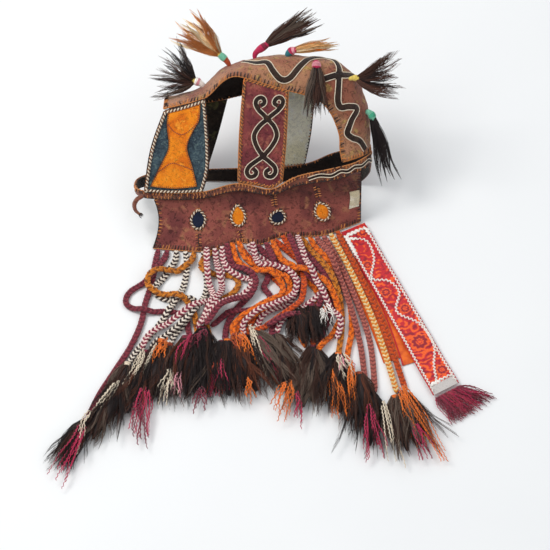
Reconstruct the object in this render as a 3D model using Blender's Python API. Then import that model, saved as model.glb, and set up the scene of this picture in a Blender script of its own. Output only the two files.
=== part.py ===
"""A felt head and neck trapping: an openwork felt hood that leans back on its far ring edge,
a neck curtain hinged under the near ring edge, plaited braids with tassels, a silk strip
and hair tassels on the crest. Metres, +Z up, the floor at Z = 0."""

import math

import bmesh
import bpy
from mathutils import Matrix, Vector
from mathutils.geometry import tessellate_polygon

# Driving dimensions
LEAN = math.radians(37.0)
RING_DEPTH = 0.130
FELT = 0.005
APPLIQUE = 0.0018
GAP = 0.0006
BED = 0.0031
SHIFT = Vector((0.001, 0.036, 0.0))

# The hood's own frame: x to the right, h up its near face, g from near edge to far edge
NEAR_Y = 0.137
NEAR_Z = RING_DEPTH * math.sin(LEAN) - BED

# Braids: plan radius of the solid, clearance where one lies on another, steepest rise
BRAID_RADIUS = 0.0045
BRAID_CLEARANCE = 0.0010
BRAID_SLOPE = 0.45
BRAID_SAMPLES = 150
BRAID_TOLERANCE = 0.0005

COLOURS = {
    "felt_tan": (0.23, 0.12, 0.07, 1.0),
    "felt_brown": (0.16, 0.06, 0.045, 1.0),
    "felt_maroon": (0.17, 0.055, 0.05, 1.0),
    "felt_dark": (0.03, 0.018, 0.014, 1.0),
    "felt_cream": (0.36, 0.31, 0.19, 1.0),
    "felt_slate": (0.06, 0.09, 0.12, 1.0),
    "felt_orange": (0.75, 0.24, 0.015, 1.0),
    "felt_navy": (0.008, 0.013, 0.035, 1.0),
    "silk_red": (0.55, 0.02, 0.03, 1.0),
    "silk_orange": (0.72, 0.17, 0.02, 1.0),
    "yarn_burgundy": (0.22, 0.03, 0.05, 1.0),
    "hair_dark": (0.025, 0.016, 0.014, 1.0),
    "hair_straw": (0.55, 0.32, 0.12, 1.0),
    "maroon": (0.20, 0.03, 0.05, 1.0),
    "black_white": (0.30, 0.27, 0.24, 1.0),
    "mustard": (0.42, 0.20, 0.03, 1.0),
    "pink_white": (0.50, 0.25, 0.24, 1.0),
    "rust": (0.45, 0.10, 0.03, 1.0),
    "orange": (0.70, 0.20, 0.02, 1.0),
    "brown_pink": (0.30, 0.11, 0.10, 1.0),
    "yellow_cream": (0.60, 0.40, 0.16, 1.0),
}

# Ring: x, g, bottom h, top h of its outer face, once round from the near left corner
RING = (
    (-0.262, 0.006, 0.000, 0.012),
    (-0.200, 0.000, -0.002, 0.009),
    (-0.142, 0.000, 0.001, 0.012),
    (-0.074, 0.000, 0.016, 0.029),
    (-0.008, 0.000, 0.008, 0.017),
    (0.046, 0.000, 0.027, 0.044),
    (0.116, 0.000, 0.038, 0.060),
    (0.160, 0.008, 0.050, 0.070),
    (0.190, 0.040, 0.056, 0.080),
    (0.192, 0.084, 0.030, 0.080),
    (0.166, 0.122, 0.000, 0.074),
    (0.116, 0.130, 0.000, 0.060),
    (0.050, 0.130, 0.000, 0.036),
    (-0.080, 0.130, 0.000, 0.029),
    (-0.170, 0.130, 0.000, 0.026),
    (-0.236, 0.120, 0.000, 0.024),
    (-0.276, 0.084, 0.000, 0.020),
    (-0.282, 0.040, 0.000, 0.014),
)
RING_STEPS = 3

# Crest: near edge, crown and far edge as (x, h), from the left end down to the right end
CREST = (
    ((-0.222, 0.182), (-0.221, 0.188), (-0.216, 0.165)),
    ((-0.180, 0.192), (-0.186, 0.198), (-0.175, 0.170)),
    ((-0.138, 0.205), (-0.144, 0.215), (-0.130, 0.172)),
    ((-0.106, 0.236), (-0.110, 0.248), (-0.100, 0.178)),
    ((-0.082, 0.248), (-0.080, 0.262), (-0.080, 0.183)),
    ((-0.052, 0.243), (-0.050, 0.270), (-0.050, 0.190)),
    ((-0.018, 0.232), (-0.014, 0.277), (-0.015, 0.200)),
    ((0.022, 0.220), (0.026, 0.280), (0.025, 0.205)),
    ((0.060, 0.210), (0.072, 0.276), (0.065, 0.200)),
    ((0.092, 0.196), (0.118, 0.268), (0.100, 0.190)),
    ((0.112, 0.172), (0.152, 0.246), (0.122, 0.170)),
    ((0.123, 0.148), (0.174, 0.212), (0.134, 0.148)),
    ((0.130, 0.124), (0.187, 0.168), (0.142, 0.124)),
    ((0.131, 0.098), (0.192, 0.120), (0.146, 0.104)),
    ((0.136, 0.072), (0.193, 0.086), (0.152, 0.084)),
)
CREST_NEAR_G = 0.012
CREST_FAR_G = 0.118
CREST_CROWN_G = 0.065
CREST_HALF_STEPS = 4

# Panels as (x, h) outlines, anticlockwise seen from the near side
NEAR_FRONT_PANEL = (
    (-0.262, 0.0126), (-0.200, 0.0096), (-0.146, 0.0126),
    (-0.134, 0.060), (-0.134, 0.120), (-0.140, 0.2010),
    (-0.182, 0.1870), (-0.221, 0.1770), (-0.248, 0.100),
)
NEAR_MID_PANEL = (
    (-0.074, 0.0320), (-0.040, 0.0270), (-0.008, 0.0210), (0.014, 0.0340),
    (0.022, 0.120), (0.026, 0.2170), (-0.018, 0.2300), (-0.052, 0.2405),
    (-0.062, 0.2420), (-0.070, 0.140),
)
FAR_FRONT_PANEL = (
    (-0.226, 0.027), (-0.138, 0.0285), (-0.116, 0.100), (-0.096, 0.1775),
    (-0.130, 0.1714), (-0.175, 0.1694), (-0.214, 0.1644),
)
FAR_MID_PANEL = (
    (-0.026, 0.034), (0.060, 0.042), (0.072, 0.110), (0.080, 0.1925),
    (0.065, 0.1970), (0.025, 0.2020), (-0.012, 0.1970), (-0.022, 0.110),
)
PANEL_BACK_CLEARANCE = 0.0035

# Appliques as (x, h) outlines on the near panels
HOURGLASS = (
    (-0.250, 0.024), (-0.200, 0.020), (-0.156, 0.024), (-0.166, 0.066), (-0.176, 0.104),
    (-0.164, 0.136), (-0.152, 0.158), (-0.149, 0.192), (-0.184, 0.182), (-0.214, 0.174),
    (-0.216, 0.146), (-0.213, 0.104), (-0.228, 0.070),
)
SCROLL = (
    (-0.056, 0.046), (-0.034, 0.044), (-0.024, 0.050), (-0.012, 0.046), (0.006, 0.050),
    (0.008, 0.068), (-0.016, 0.090), (0.004, 0.122), (0.006, 0.134), (-0.010, 0.164),
    (0.014, 0.186), (0.008, 0.204), (-0.010, 0.204), (-0.018, 0.192), (-0.028, 0.204),
    (-0.046, 0.204), (-0.048, 0.186), (-0.030, 0.164), (-0.050, 0.134), (-0.050, 0.122),
    (-0.034, 0.090), (-0.060, 0.068),
)

STRAP_G = -0.004

# Curtain: x, top h (under the ring's near edge) and floor y of its lower edge
CURTAIN = (
    (-0.244, -0.006, 0.066),
    (-0.200, -0.006, 0.061),
    (-0.160, -0.004, 0.058),
    (-0.120, 0.000, 0.061),
    (-0.074, 0.011, 0.080),
    (-0.030, 0.007, 0.076),
    (0.010, 0.009, 0.094),
    (0.050, 0.022, 0.096),
    (0.100, 0.030, 0.100),
    (0.140, 0.038, 0.118),
    (0.172, 0.044, 0.134),
)
CURTAIN_COLUMNS = 2
CURTAIN_ROWS = 6
CURTAIN_SWEEP = 1.25
CURTAIN_DROP = 1.10
CURTAIN_EDGE_WAVE = 0.012
CURTAIN_SEAM = 0.003

# Inserts on the curtain: across (0 to 1), down (0 to 1), half width, half height, turn
INSERTS = (
    ("navy_insert_left", "felt_navy", 0.215, 0.46, 0.0135, 0.017, 0.0),
    ("orange_insert_left", "felt_orange", 0.400, 0.52, 0.0115, 0.019, 0.1),
    ("navy_insert_right", "felt_navy", 0.590, 0.58, 0.0150, 0.012, -0.35),
    ("orange_insert_right", "felt_orange", 0.790, 0.58, 0.0110, 0.018, 0.35),
)
INSERT_SIDES = 10
PATCH = ((0.93, 0.34), (0.985, 0.34), (0.985, 0.66), (0.955, 0.68), (0.925, 0.62))

# Silk strip and its lining on the floor, near end first
SILK_STRIP = ((0.134, 0.104), (0.180, 0.128), (0.360, -0.274), (0.310, -0.305))
STRIP_LINING = (
    (0.172, 0.012), (0.200, 0.016), (0.285, -0.190), (0.282, -0.216),
    (0.252, -0.228), (0.247, -0.206), (0.224, -0.119), (0.200, -0.050),
)
STRIP_FRINGE = (
    (0.3135, -0.3095), (0.3635, -0.2785), (0.424, -0.292), (0.430, -0.317),
    (0.390, -0.344), (0.384, -0.378), (0.340, -0.350),
)
LINING_THICKNESS = 0.0025
STRIP_THICKNESS = 0.003
FRINGE_THICKNESS = 0.009

# Crest tassels: place along and across the crest, direction (x, h, g), length,
# wrap radius, widest radius
CREST_TASSELS = (
    ("crest_tassel_1", "hair_dark", 2.0, 0.00, (-0.94, 0.26, 0.05), 0.105, 0.006, 0.020),
    ("crest_tassel_2", "hair_straw", 3.6, 0.00, (-0.75, 0.66, 0.05), 0.128, 0.006, 0.014),
    ("crest_tassel_3", "hair_dark", 5.3, 0.05, (0.80, 0.56, 0.10), 0.150, 0.007, 0.013),
    ("crest_tassel_4", "hair_straw", 7.0, -0.10, (0.97, 0.22, -0.10), 0.105, 0.006, 0.009),
    ("crest_tassel_5", "hair_dark", 8.25, -0.34, (0.02, -0.90, -0.42), 0.100, 0.007, 0.012),
    ("crest_tassel_6", "hair_dark", 10.1, -0.30, (0.95, -0.16, -0.10), 0.100, 0.006, 0.019),
    ("crest_tassel_7", "hair_dark", 12.0, -0.22, (0.30, -0.94, -0.10), 0.135, 0.007, 0.013),
)
STUB = 0.012
STALK_CLEARANCE = 0.0015
ROUND_SIDES = 8

# Braids: colour, then the route on the floor from the curtain's edge to the tassel
BRAIDS = (
    ("maroon", ((-0.234, 0.061), (-0.240, 0.025), (-0.246, -0.025), (-0.258, -0.076),
                (-0.266, -0.127), (-0.286, -0.185), (-0.314, -0.241), (-0.343, -0.299),
                (-0.367, -0.362))),
    ("maroon", ((-0.216, 0.058), (-0.224, 0.033), (-0.250, -0.013), (-0.290, -0.048),
                (-0.294, -0.079), (-0.258, -0.096), (-0.210, -0.096), (-0.178, -0.109),
                (-0.172, -0.140), (-0.166, -0.176))),
    ("black_white", ((-0.198, 0.057), (-0.200, 0.033), (-0.218, -0.003), (-0.240, -0.043),
                     (-0.214, -0.066), (-0.170, -0.061), (-0.158, -0.084), (-0.178, -0.127),
                     (-0.198, -0.155), (-0.206, -0.178))),
    ("black_white", ((-0.180, 0.055), (-0.176, 0.018), (-0.184, -0.038), (-0.210, -0.094),
                     (-0.240, -0.146), (-0.270, -0.190), (-0.288, -0.224))),
    ("mustard", ((-0.162, 0.054), (-0.170, 0.024), (-0.198, 0.004), (-0.227, 0.003),
                 (-0.250, -0.012), (-0.253, -0.035), (-0.236, -0.054), (-0.206, -0.061),
                 (-0.181, -0.069), (-0.166, -0.092), (-0.156, -0.130), (-0.150, -0.176))),
    ("black_white", ((-0.144, 0.055), (-0.140, 0.013), (-0.136, -0.038), (-0.154, -0.094),
                     (-0.186, -0.134), (-0.232, -0.168), (-0.246, -0.195))),
    ("mustard", ((-0.126, 0.056), (-0.144, 0.028), (-0.146, 0.008), (-0.126, -0.002),
                 (-0.100, -0.004), (-0.080, -0.010), (-0.073, -0.029), (-0.087, -0.052),
                 (-0.114, -0.070), (-0.132, -0.092), (-0.136, -0.124), (-0.126, -0.172))),
    ("pink_white", ((-0.108, 0.060), (-0.108, 0.023), (-0.106, -0.025), (-0.114, -0.065),
                    (-0.164, -0.100), (-0.214, -0.130), (-0.250, -0.160), (-0.262, -0.194))),
    ("maroon", ((-0.090, 0.069), (-0.074, 0.033), (-0.046, -0.013), (-0.050, -0.053),
                (-0.080, -0.094), (-0.096, -0.135), (-0.099, -0.172))),
    ("rust", ((-0.072, 0.076), (-0.054, 0.043), (-0.010, -0.003), (0.018, -0.043),
              (-0.002, -0.085), (-0.040, -0.112), (-0.052, -0.140), (-0.053, -0.157))),
    ("pink_white", ((-0.054, 0.074), (-0.034, 0.043), (0.018, 0.008), (0.046, -0.028),
                    (0.026, -0.075), (-0.020, -0.105), (-0.036, -0.135), (-0.038, -0.157))),
    ("maroon", ((-0.036, 0.072), (-0.010, 0.038), (0.034, -0.013), (0.054, -0.053),
                (0.034, -0.095), (0.002, -0.125), (-0.010, -0.153))),
    ("orange", ((-0.018, 0.076), (0.014, 0.038), (0.062, -0.013), (0.086, -0.058),
                (0.062, -0.104), (0.050, -0.145), (0.060, -0.183))),
    ("rust", ((0.000, 0.085), (0.034, 0.048), (0.082, -0.003), (0.106, -0.053),
              (0.094, -0.105), (0.078, -0.150), (0.076, -0.184))),
    ("pink_white", ((0.018, 0.091), (0.042, 0.053), (0.074, 0.008), (0.102, -0.028),
                    (0.078, -0.070), (0.034, -0.100), (0.010, -0.130), (0.004, -0.154))),
    ("maroon", ((0.036, 0.092), (0.058, 0.048), (0.094, -0.003), (0.118, -0.053),
                (0.106, -0.114), (0.094, -0.150), (0.091, -0.184))),
    ("mustard", ((0.054, 0.092), (0.078, 0.043), (0.110, -0.013), (0.130, -0.074),
                 (0.132, -0.140), (0.126, -0.195), (0.122, -0.240))),
    ("orange", ((0.070, 0.092), (0.093, 0.043), (0.126, -0.013), (0.148, -0.074),
                (0.152, -0.140), (0.144, -0.195), (0.139, -0.240))),
    ("brown_pink", ((0.084, 0.093), (0.110, 0.033), (0.136, -0.038), (0.156, -0.114),
                    (0.170, -0.190), (0.179, -0.294))),
    ("brown_pink", ((0.098, 0.095), (0.126, 0.033), (0.152, -0.038), (0.175, -0.114),
                    (0.190, -0.190), (0.196, -0.294))),
    ("yellow_cream", ((0.112, 0.101), (0.141, 0.033), (0.168, -0.038), (0.194, -0.114),
                      (0.216, -0.195), (0.239, -0.296))),
    ("rust", ((0.126, 0.107), (0.157, 0.027), (0.184, -0.043), (0.212, -0.119),
              (0.235, -0.206), (0.256, -0.290))),
)

# Tassels on the floor: neck, tip, widest radius
TASSELS = (
    ((-0.370, -0.372), (-0.424, -0.500), 0.018),
    ((-0.292, -0.235), (-0.326, -0.364), 0.017),
    ((-0.254, -0.206), (-0.274, -0.345), 0.016),
    ((-0.210, -0.188), (-0.232, -0.336), 0.017),
    ((-0.158, -0.186), (-0.178, -0.336), 0.021),
    ((-0.106, -0.183), (-0.118, -0.330), 0.022),
    ((-0.046, -0.167), (-0.058, -0.312), 0.022),
    ((-0.001, -0.163), (0.034, -0.284), 0.020),
    ((0.076, -0.195), (0.074, -0.353), 0.024),
    ((0.130, -0.250), (0.126, -0.373), 0.018),
    ((0.187, -0.305), (0.182, -0.460), 0.022),
    ((0.250, -0.306), (0.294, -0.454), 0.024),
)
TASSEL_SQUASH = 0.55


def clear_scene():
    for obj in list(bpy.data.objects):
        bpy.data.objects.remove(obj, do_unlink=True)


def material(name):
    found = bpy.data.materials.get(name)
    if found:
        return found
    made = bpy.data.materials.new(name)
    made.use_nodes = True
    shader = made.node_tree.nodes["Principled BSDF"]
    shader.inputs["Base Color"].default_value = COLOURS[name]
    shader.inputs["Roughness"].default_value = 0.45 if name.startswith("silk") else 0.9
    shader.inputs["Metallic"].default_value = 0.0
    return made


def add_object(name, data, material_name, pivot=Vector((0.0, 0.0, 0.0))):
    """Links the object with its origin on the pivot, then moves it by the common shift."""
    data.transform(Matrix.Translation(-pivot))
    data.materials.append(material(material_name))
    obj = bpy.data.objects.new(name, data)
    obj.location = pivot + SHIFT
    bpy.context.collection.objects.link(obj)
    return obj


def mesh_from(name, vertices, faces):
    mesh = bpy.data.meshes.new(name)
    mesh.from_pydata([tuple(v) for v in vertices], [], faces)
    work = bmesh.new()
    work.from_mesh(mesh)
    bmesh.ops.remove_doubles(work, verts=work.verts, dist=1e-6)
    bmesh.ops.triangulate(work, faces=work.faces)
    bmesh.ops.recalc_face_normals(work, faces=work.faces)
    work.to_mesh(mesh)
    work.free()
    return mesh


def hood_point(x, h, g):
    y = NEAR_Y + h * math.sin(LEAN) + g * math.cos(LEAN)
    z = NEAR_Z + h * math.cos(LEAN) - g * math.sin(LEAN)
    return Vector((x, y, z))


def hood_direction(x, h, g):
    return (hood_point(x, h, g) - hood_point(0.0, 0.0, 0.0)).normalized()


def on_floor(point):
    return Vector((point.x, point.y, max(point.z, 0.0)))


def smooth_value(points, t, closed=False):
    """A Catmull-Rom value at t, where whole numbers are the points themselves."""
    count = len(points)
    base = math.floor(t)
    f = t - base

    def pick(i):
        if closed:
            return points[i % count]
        return points[max(0, min(count - 1, i))]

    p0, p1, p2, p3 = (Vector(pick(base + k)) for k in (-1, 0, 1, 2))
    return 0.5 * (
        2.0 * p1
        + (p2 - p0) * f
        + (2.0 * p0 - 5.0 * p1 + 4.0 * p2 - p3) * f * f
        + (3.0 * p1 - p0 - 3.0 * p2 + p3) * f ** 3
    )


def slab(front, back, closed=False):
    """Vertices and faces of a closed slab between two grids of points."""
    rows = len(front)
    columns = len(front[0])
    vertices = [p for grid in (front, back) for row in grid for p in row]

    def at(side, r, c):
        return side * rows * columns + (r % rows) * columns + c

    faces = []
    last_row = rows if closed else rows - 1
    for r in range(last_row):
        for c in range(columns - 1):
            for side in (0, 1):
                ring = [at(side, r, c), at(side, r, c + 1), at(side, r + 1, c + 1), at(side, r + 1, c)]
                faces.append(ring if side == 0 else ring[::-1])
        for c in (0, columns - 1):
            faces.append([at(0, r, c), at(0, r + 1, c), at(1, r + 1, c), at(1, r, c)])
    if not closed:
        for r in (0, rows - 1):
            for c in range(columns - 1):
                faces.append([at(0, r, c), at(1, r, c), at(1, r, c + 1), at(0, r, c + 1)])
    return vertices, faces


def prism(outline, front, back):
    """Vertices and faces of an outline drawn on two surfaces and joined at the rim."""
    count = len(outline)
    vertices = [front(a, b) for a, b in outline] + [back(a, b) for a, b in outline]
    flat = [Vector((a, b, 0.0)) for a, b in outline]
    triangles = tessellate_polygon([flat])
    faces = [tuple(t) for t in triangles]
    faces += [tuple(count + i for i in reversed(t)) for t in triangles]
    for i in range(count):
        j = (i + 1) % count
        faces.append((i, j, count + j, count + i))
    return vertices, faces


def swept(path, radii, squash=1.0, floor=False):
    """A closed round body along a path of points, one radius for each."""
    vertices = []
    faces = []
    side = Vector((0.0, 0.0, 1.0)).cross(path[1] - path[0])
    if side.length < 1e-6:
        side = Vector((1.0, 0.0, 0.0))
    for i, point in enumerate(path):
        ahead = (path[min(i + 1, len(path) - 1)] - path[max(i - 1, 0)]).normalized()
        side = (side - ahead * side.dot(ahead)).normalized()
        up = ahead.cross(side)
        for k in range(ROUND_SIDES):
            turn = 2.0 * math.pi * (k + 0.5) / ROUND_SIDES
            offset = side * math.cos(turn) + up * math.sin(turn) * squash
            corner = point + offset * radii[i]
            vertices.append(on_floor(corner) if floor else corner)
    for i in range(len(path) - 1):
        for k in range(ROUND_SIDES):
            n = (k + 1) % ROUND_SIDES
            a = i * ROUND_SIDES
            b = a + ROUND_SIDES
            faces.append((a + k, a + n, b + n, b + k))
    faces.append(tuple(range(ROUND_SIDES))[::-1])
    end = (len(path) - 1) * ROUND_SIDES
    faces.append(tuple(range(end, end + ROUND_SIDES)))
    return vertices, faces


def build_ring():
    outer, inner = [], []
    steps = len(RING) * RING_STEPS
    for i in range(steps):
        t = i / RING_STEPS
        x, g, low, high = smooth_value(RING, t, closed=True)
        ahead = smooth_value(RING, t + 0.05, closed=True) - smooth_value(RING, t - 0.05, closed=True)
        along = Vector((ahead[0], ahead[1])).normalized()
        inward = Vector((-along.y, along.x)) * FELT
        outer.append([on_floor(hood_point(x, h, g)) for h in (low, high)])
        inner.append([on_floor(hood_point(x + inward.x, h, g + inward.y)) for h in (low, high)])
    vertices, faces = slab(outer, inner, closed=True)
    add_object("ring_band", mesh_from("ring_band", vertices, faces), "felt_brown")


def crest_point(u, w):
    """The crest's outer face: u counts stations from the left end, w is -1 near to 1 far."""
    near, crown, far = (smooth_value([s[k] for s in CREST], u) for k in range(3))
    edge = near if w < 0.0 else far
    edge_g = CREST_NEAR_G if w < 0.0 else CREST_FAR_G
    drop = 1.0 - math.cos(w * math.pi / 2.0)
    xh = crown + (edge - crown) * drop
    g = CREST_CROWN_G + (edge_g - CREST_CROWN_G) * abs(math.sin(w * math.pi / 2.0))
    return hood_point(xh.x, xh.y, g)


def crest_normal(u, w):
    step = 0.05
    along = crest_point(u + step, w) - crest_point(u - step, w)
    across = crest_point(u, min(1.0, w + step)) - crest_point(u, max(-1.0, w - step))
    return along.cross(across).normalized()


def crest_inward(u, w):
    """Into the hood, and straight across it at the two edges, where the panels stand."""
    if abs(w) == 1.0:
        return hood_direction(0.0, 0.0, -w)
    return -crest_normal(u, w)


def build_crest():
    outer, inner = [], []
    last = len(CREST) - 1
    for i in range(last + 1):
        line = [k / CREST_HALF_STEPS for k in range(-CREST_HALF_STEPS, CREST_HALF_STEPS + 1)]
        u = min(max(i, 0.02), last - 0.02)
        outer.append([crest_point(u, w) for w in line])
        inner.append([crest_point(u, w) + crest_inward(u, w) * FELT for w in line])
    vertices, faces = slab(outer, inner)
    add_object("crest_band", mesh_from("crest_band", vertices, faces), "felt_tan")


def near_panel_g(h):
    return CREST_NEAR_G * h / 0.22


def far_panel_g(h):
    return RING_DEPTH - PANEL_BACK_CLEARANCE + (CREST_FAR_G - RING_DEPTH) * h / 0.20


def build_panel(name, outline, material_name, depth_at, thickness):
    vertices, faces = prism(
        outline,
        lambda x, h: hood_point(x, h, depth_at(h)),
        lambda x, h: hood_point(x, h, depth_at(h) + thickness),
    )
    add_object(name, mesh_from(name, vertices, faces), material_name)


def build_applique(name, outline, material_name):
    vertices, faces = prism(
        outline,
        lambda x, h: hood_point(x, h, near_panel_g(h) - GAP - APPLIQUE),
        lambda x, h: hood_point(x, h, near_panel_g(h) - GAP),
    )
    add_object(name, mesh_from(name, vertices, faces), material_name)


def strap_path():
    turns = ((-0.2670, 0.004), (-0.2760, -0.001), (-0.2820, -0.012), (-0.2800, -0.024), (-0.2720, -0.032))
    return [hood_point(x, h, STRAP_G) for x, h in turns]


def build_strap(pivot):
    path = strap_path()
    vertices, faces = swept(path, [0.0045, 0.0055, 0.0055, 0.005, 0.004], squash=0.7)
    add_object("strap_tip", mesh_from("strap_tip", vertices, faces), "felt_brown", pivot)


def curtain_point(across, down):
    """The curtain's outer face: across 0 left to 1 right, down 0 top to 1 lower edge."""
    x, top_h, floor_y = smooth_value(CURTAIN, across * (len(CURTAIN) - 1))
    top = hood_point(x, top_h - CURTAIN_SEAM, 0.0)
    wave = CURTAIN_EDGE_WAVE * math.sin(down * math.pi) * (1.0 - min(1.0, across / 0.14)) ** 1.5
    y = top.y + (floor_y - top.y) * down ** CURTAIN_SWEEP
    z = top.z * (1.0 - down) ** CURTAIN_DROP
    return Vector((x + wave, y, z + FELT * down * 0.9))


def curtain_normal(across, down):
    step = 0.02
    sideways = curtain_point(min(1.0, across + step), down) - curtain_point(max(0.0, across - step), down)
    downward = curtain_point(across, min(1.0, down + step)) - curtain_point(across, max(0.0, down - step))
    return downward.cross(sideways).normalized()


def build_curtain(pivot):
    front, back = [], []
    columns = (len(CURTAIN) - 1) * CURTAIN_COLUMNS
    for i in range(columns + 1):
        across = i / columns
        downs = [k / CURTAIN_ROWS for k in range(CURTAIN_ROWS + 1)]
        front.append([curtain_point(across, d) for d in downs])
        back.append(
            [on_floor(curtain_point(across, d) - curtain_normal(across, d) * FELT) for d in downs]
        )
    vertices, faces = slab(front, back)
    add_object("curtain", mesh_from("curtain", vertices, faces), "felt_maroon", pivot)


def raised(across, down, height):
    return curtain_point(across, down) + curtain_normal(across, down) * height


def build_on_curtain(name, outline, material_name, pivot):
    clear = 2.5 * GAP
    vertices, faces = prism(
        outline,
        lambda a, d: raised(a, d, clear + APPLIQUE),
        lambda a, d: raised(a, d, clear),
    )
    add_object(name, mesh_from(name, vertices, faces), material_name, pivot)


def drop_outline(across, down, half_width, half_height, turn):
    """A teardrop with its point up, in the curtain's own fractions."""
    width = CURTAIN[-1][0] - CURTAIN[0][0]
    height = (curtain_point(across, 1.0) - curtain_point(across, 0.0)).length
    outline = []
    for k in range(INSERT_SIDES):
        angle = 2.0 * math.pi * k / INSERT_SIDES
        narrow = 1.0 - 0.35 * max(0.0, math.cos(angle))
        a = half_width * math.sin(angle) * narrow
        b = half_height * math.cos(angle)
        sideways = a * math.cos(turn) - b * math.sin(turn)
        upward = a * math.sin(turn) + b * math.cos(turn)
        outline.append((across + sideways / width, down - upward / height))
    return outline


def build_inserts(pivot):
    for name, colour, across, down, half_width, half_height, turn in INSERTS:
        outline = drop_outline(across, down, half_width, half_height, turn)
        build_on_curtain(name, outline, colour, pivot)
    build_on_curtain("lining_patch", PATCH, "felt_cream", pivot)


def build_flat(name, outline, low, high, material_name, pivot):
    vertices, faces = prism(
        outline,
        lambda x, y: Vector((x, y, high)),
        lambda x, y: Vector((x, y, low)),
    )
    add_object(name, mesh_from(name, vertices, faces), material_name, pivot)


def build_strip(pivot):
    above = LINING_THICKNESS + GAP
    build_flat("strip_lining", STRIP_LINING, 0.0, LINING_THICKNESS, "silk_orange", pivot)
    build_flat("silk_strip", SILK_STRIP, above, above + STRIP_THICKNESS, "silk_red", pivot)
    build_flat("strip_fringe", STRIP_FRINGE, 0.0, FRINGE_THICKNESS, "yarn_burgundy", pivot)


def crest_tassel_path(u, w, direction, length):
    start = crest_point(u, w)
    normal = crest_normal(u, w)
    ahead = hood_direction(*direction)
    points = [start + normal * STALK_CLEARANCE, start + normal * STUB]
    bend = points[-1] + (normal + ahead).normalized() * STUB
    points.append(bend)
    for share in (0.35, 0.7, 1.0):
        points.append(bend + ahead * (length - 2.0 * STUB) * share)
    return points


def build_crest_tassel(name, colour, u, w, direction, length, wrap, widest):
    path = crest_tassel_path(u, w, direction, length)
    radii = [0.6 * wrap, wrap, wrap, 0.8 * widest, widest, 0.45 * widest]
    vertices, faces = swept(path, radii)
    add_object(name, mesh_from(name, vertices, faces), colour, path[0])


def build_tassel(name, neck, tip, widest, pivot):
    profile = ((0.0, 0.35), (0.18, 0.65), (0.45, 0.95), (0.75, 1.0), (1.0, 0.6))
    start = Vector((neck[0], neck[1], 0.0))
    reach = Vector((tip[0], tip[1], 0.0)) - start
    path, radii = [], []
    for share, part in profile:
        radius = widest * part
        path.append(start + reach * share + Vector((0.0, 0.0, radius * TASSEL_SQUASH)))
        radii.append(radius)
    vertices, faces = swept(path, radii, squash=TASSEL_SQUASH, floor=True)
    add_object(name, mesh_from(name, vertices, faces), "hair_dark", pivot)


def evenly(points, count):
    """The smooth line through the points at even steps of its own length."""
    fine = [smooth_value(points, i * (len(points) - 1) / (8 * count)) for i in range(8 * count + 1)]
    travelled = [0.0]
    for a, b in zip(fine, fine[1:]):
        travelled.append(travelled[-1] + (b - a).length)
    line = []
    k = 0
    for i in range(count):
        goal = travelled[-1] * i / (count - 1)
        while k < len(fine) - 2 and travelled[k + 1] < goal:
            k += 1
        span = travelled[k + 1] - travelled[k]
        line.append(fine[k].lerp(fine[k + 1], (goal - travelled[k]) / span))
    return line


def lay_braids():
    """Lays the braids one after another, each over those already on the floor."""
    reach = 2.0 * BRAID_RADIUS + BRAID_CLEARANCE
    laid = []
    lines = []
    for _, route in BRAIDS:
        plan = evenly(route, BRAID_SAMPLES)
        step = sum((b - a).length for a, b in zip(plan, plan[1:])) / (len(plan) - 1)
        heights = []
        for p in plan:
            height = BRAID_RADIUS
            for q in laid:
                apart = math.hypot(p.x - q.x, p.y - q.y)
                if apart < reach:
                    height = max(height, q.z + math.sqrt(reach * reach - apart * apart))
            heights.append(height)
        rise = BRAID_SLOPE * step
        for i in range(1, len(heights)):
            heights[i] = max(heights[i], heights[i - 1] - rise)
        for i in range(len(heights) - 2, -1, -1):
            heights[i] = max(heights[i], heights[i + 1] - rise)
        line = [Vector((p.x, p.y, z)) for p, z in zip(plan, heights)]
        laid.extend(line)
        lines.append(line)
    return lines


def thinned(line, tolerance):
    """Drops the points that lie within the tolerance of the chord past them."""
    first, last = line[0], line[-1]
    chord = last - first
    worst, far = 0.0, None
    for i in range(1, len(line) - 1):
        along = max(0.0, min(1.0, (line[i] - first).dot(chord) / chord.length_squared))
        off = (line[i] - first - chord * along).length
        if off > worst:
            worst, far = off, i
    if worst <= tolerance:
        return [first, last]
    return thinned(line[: far + 1], tolerance)[:-1] + thinned(line[far:], tolerance)


def build_braid(name, colour, line, pivot):
    points = thinned(line, BRAID_TOLERANCE)
    curve = bpy.data.curves.new(name, "CURVE")
    curve.dimensions = "3D"
    curve.bevel_depth = BRAID_RADIUS
    curve.bevel_resolution = 2
    curve.use_fill_caps = True
    spline = curve.splines.new("POLY")
    spline.points.add(len(points) - 1)
    for point, where in zip(spline.points, points):
        point.co = (*where, 1.0)
    add_object(name, curve, colour, pivot)


def main():
    clear_scene()
    build_ring()
    build_crest()
    build_panel("near_front_panel", NEAR_FRONT_PANEL, "felt_slate", near_panel_g, FELT)
    build_panel("near_mid_panel", NEAR_MID_PANEL, "felt_maroon", near_panel_g, FELT)
    build_panel("far_front_panel", FAR_FRONT_PANEL, "felt_dark", far_panel_g, -FELT)
    build_panel("far_mid_panel", FAR_MID_PANEL, "felt_cream", far_panel_g, -FELT)
    build_applique("hourglass_applique", HOURGLASS, "felt_orange")
    build_applique("scroll_applique", SCROLL, "felt_dark")
    build_strap(strap_path()[0])
    for spec in CREST_TASSELS:
        build_crest_tassel(*spec)
    curtain_hinge = hood_point(0.0, 0.010, 0.0)
    build_curtain(curtain_hinge)
    build_inserts(curtain_hinge)
    for i, line in enumerate(lay_braids()):
        build_braid(f"braid_{i + 1:02d}", BRAIDS[i][0], line, curtain_hinge)
    for i, (neck, tip, widest) in enumerate(TASSELS):
        build_tassel(f"tassel_{i + 1:02d}", neck, tip, widest, curtain_hinge)
    build_strip(Vector((SILK_STRIP[0][0], SILK_STRIP[0][1], LINING_THICKNESS)))


main()
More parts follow.
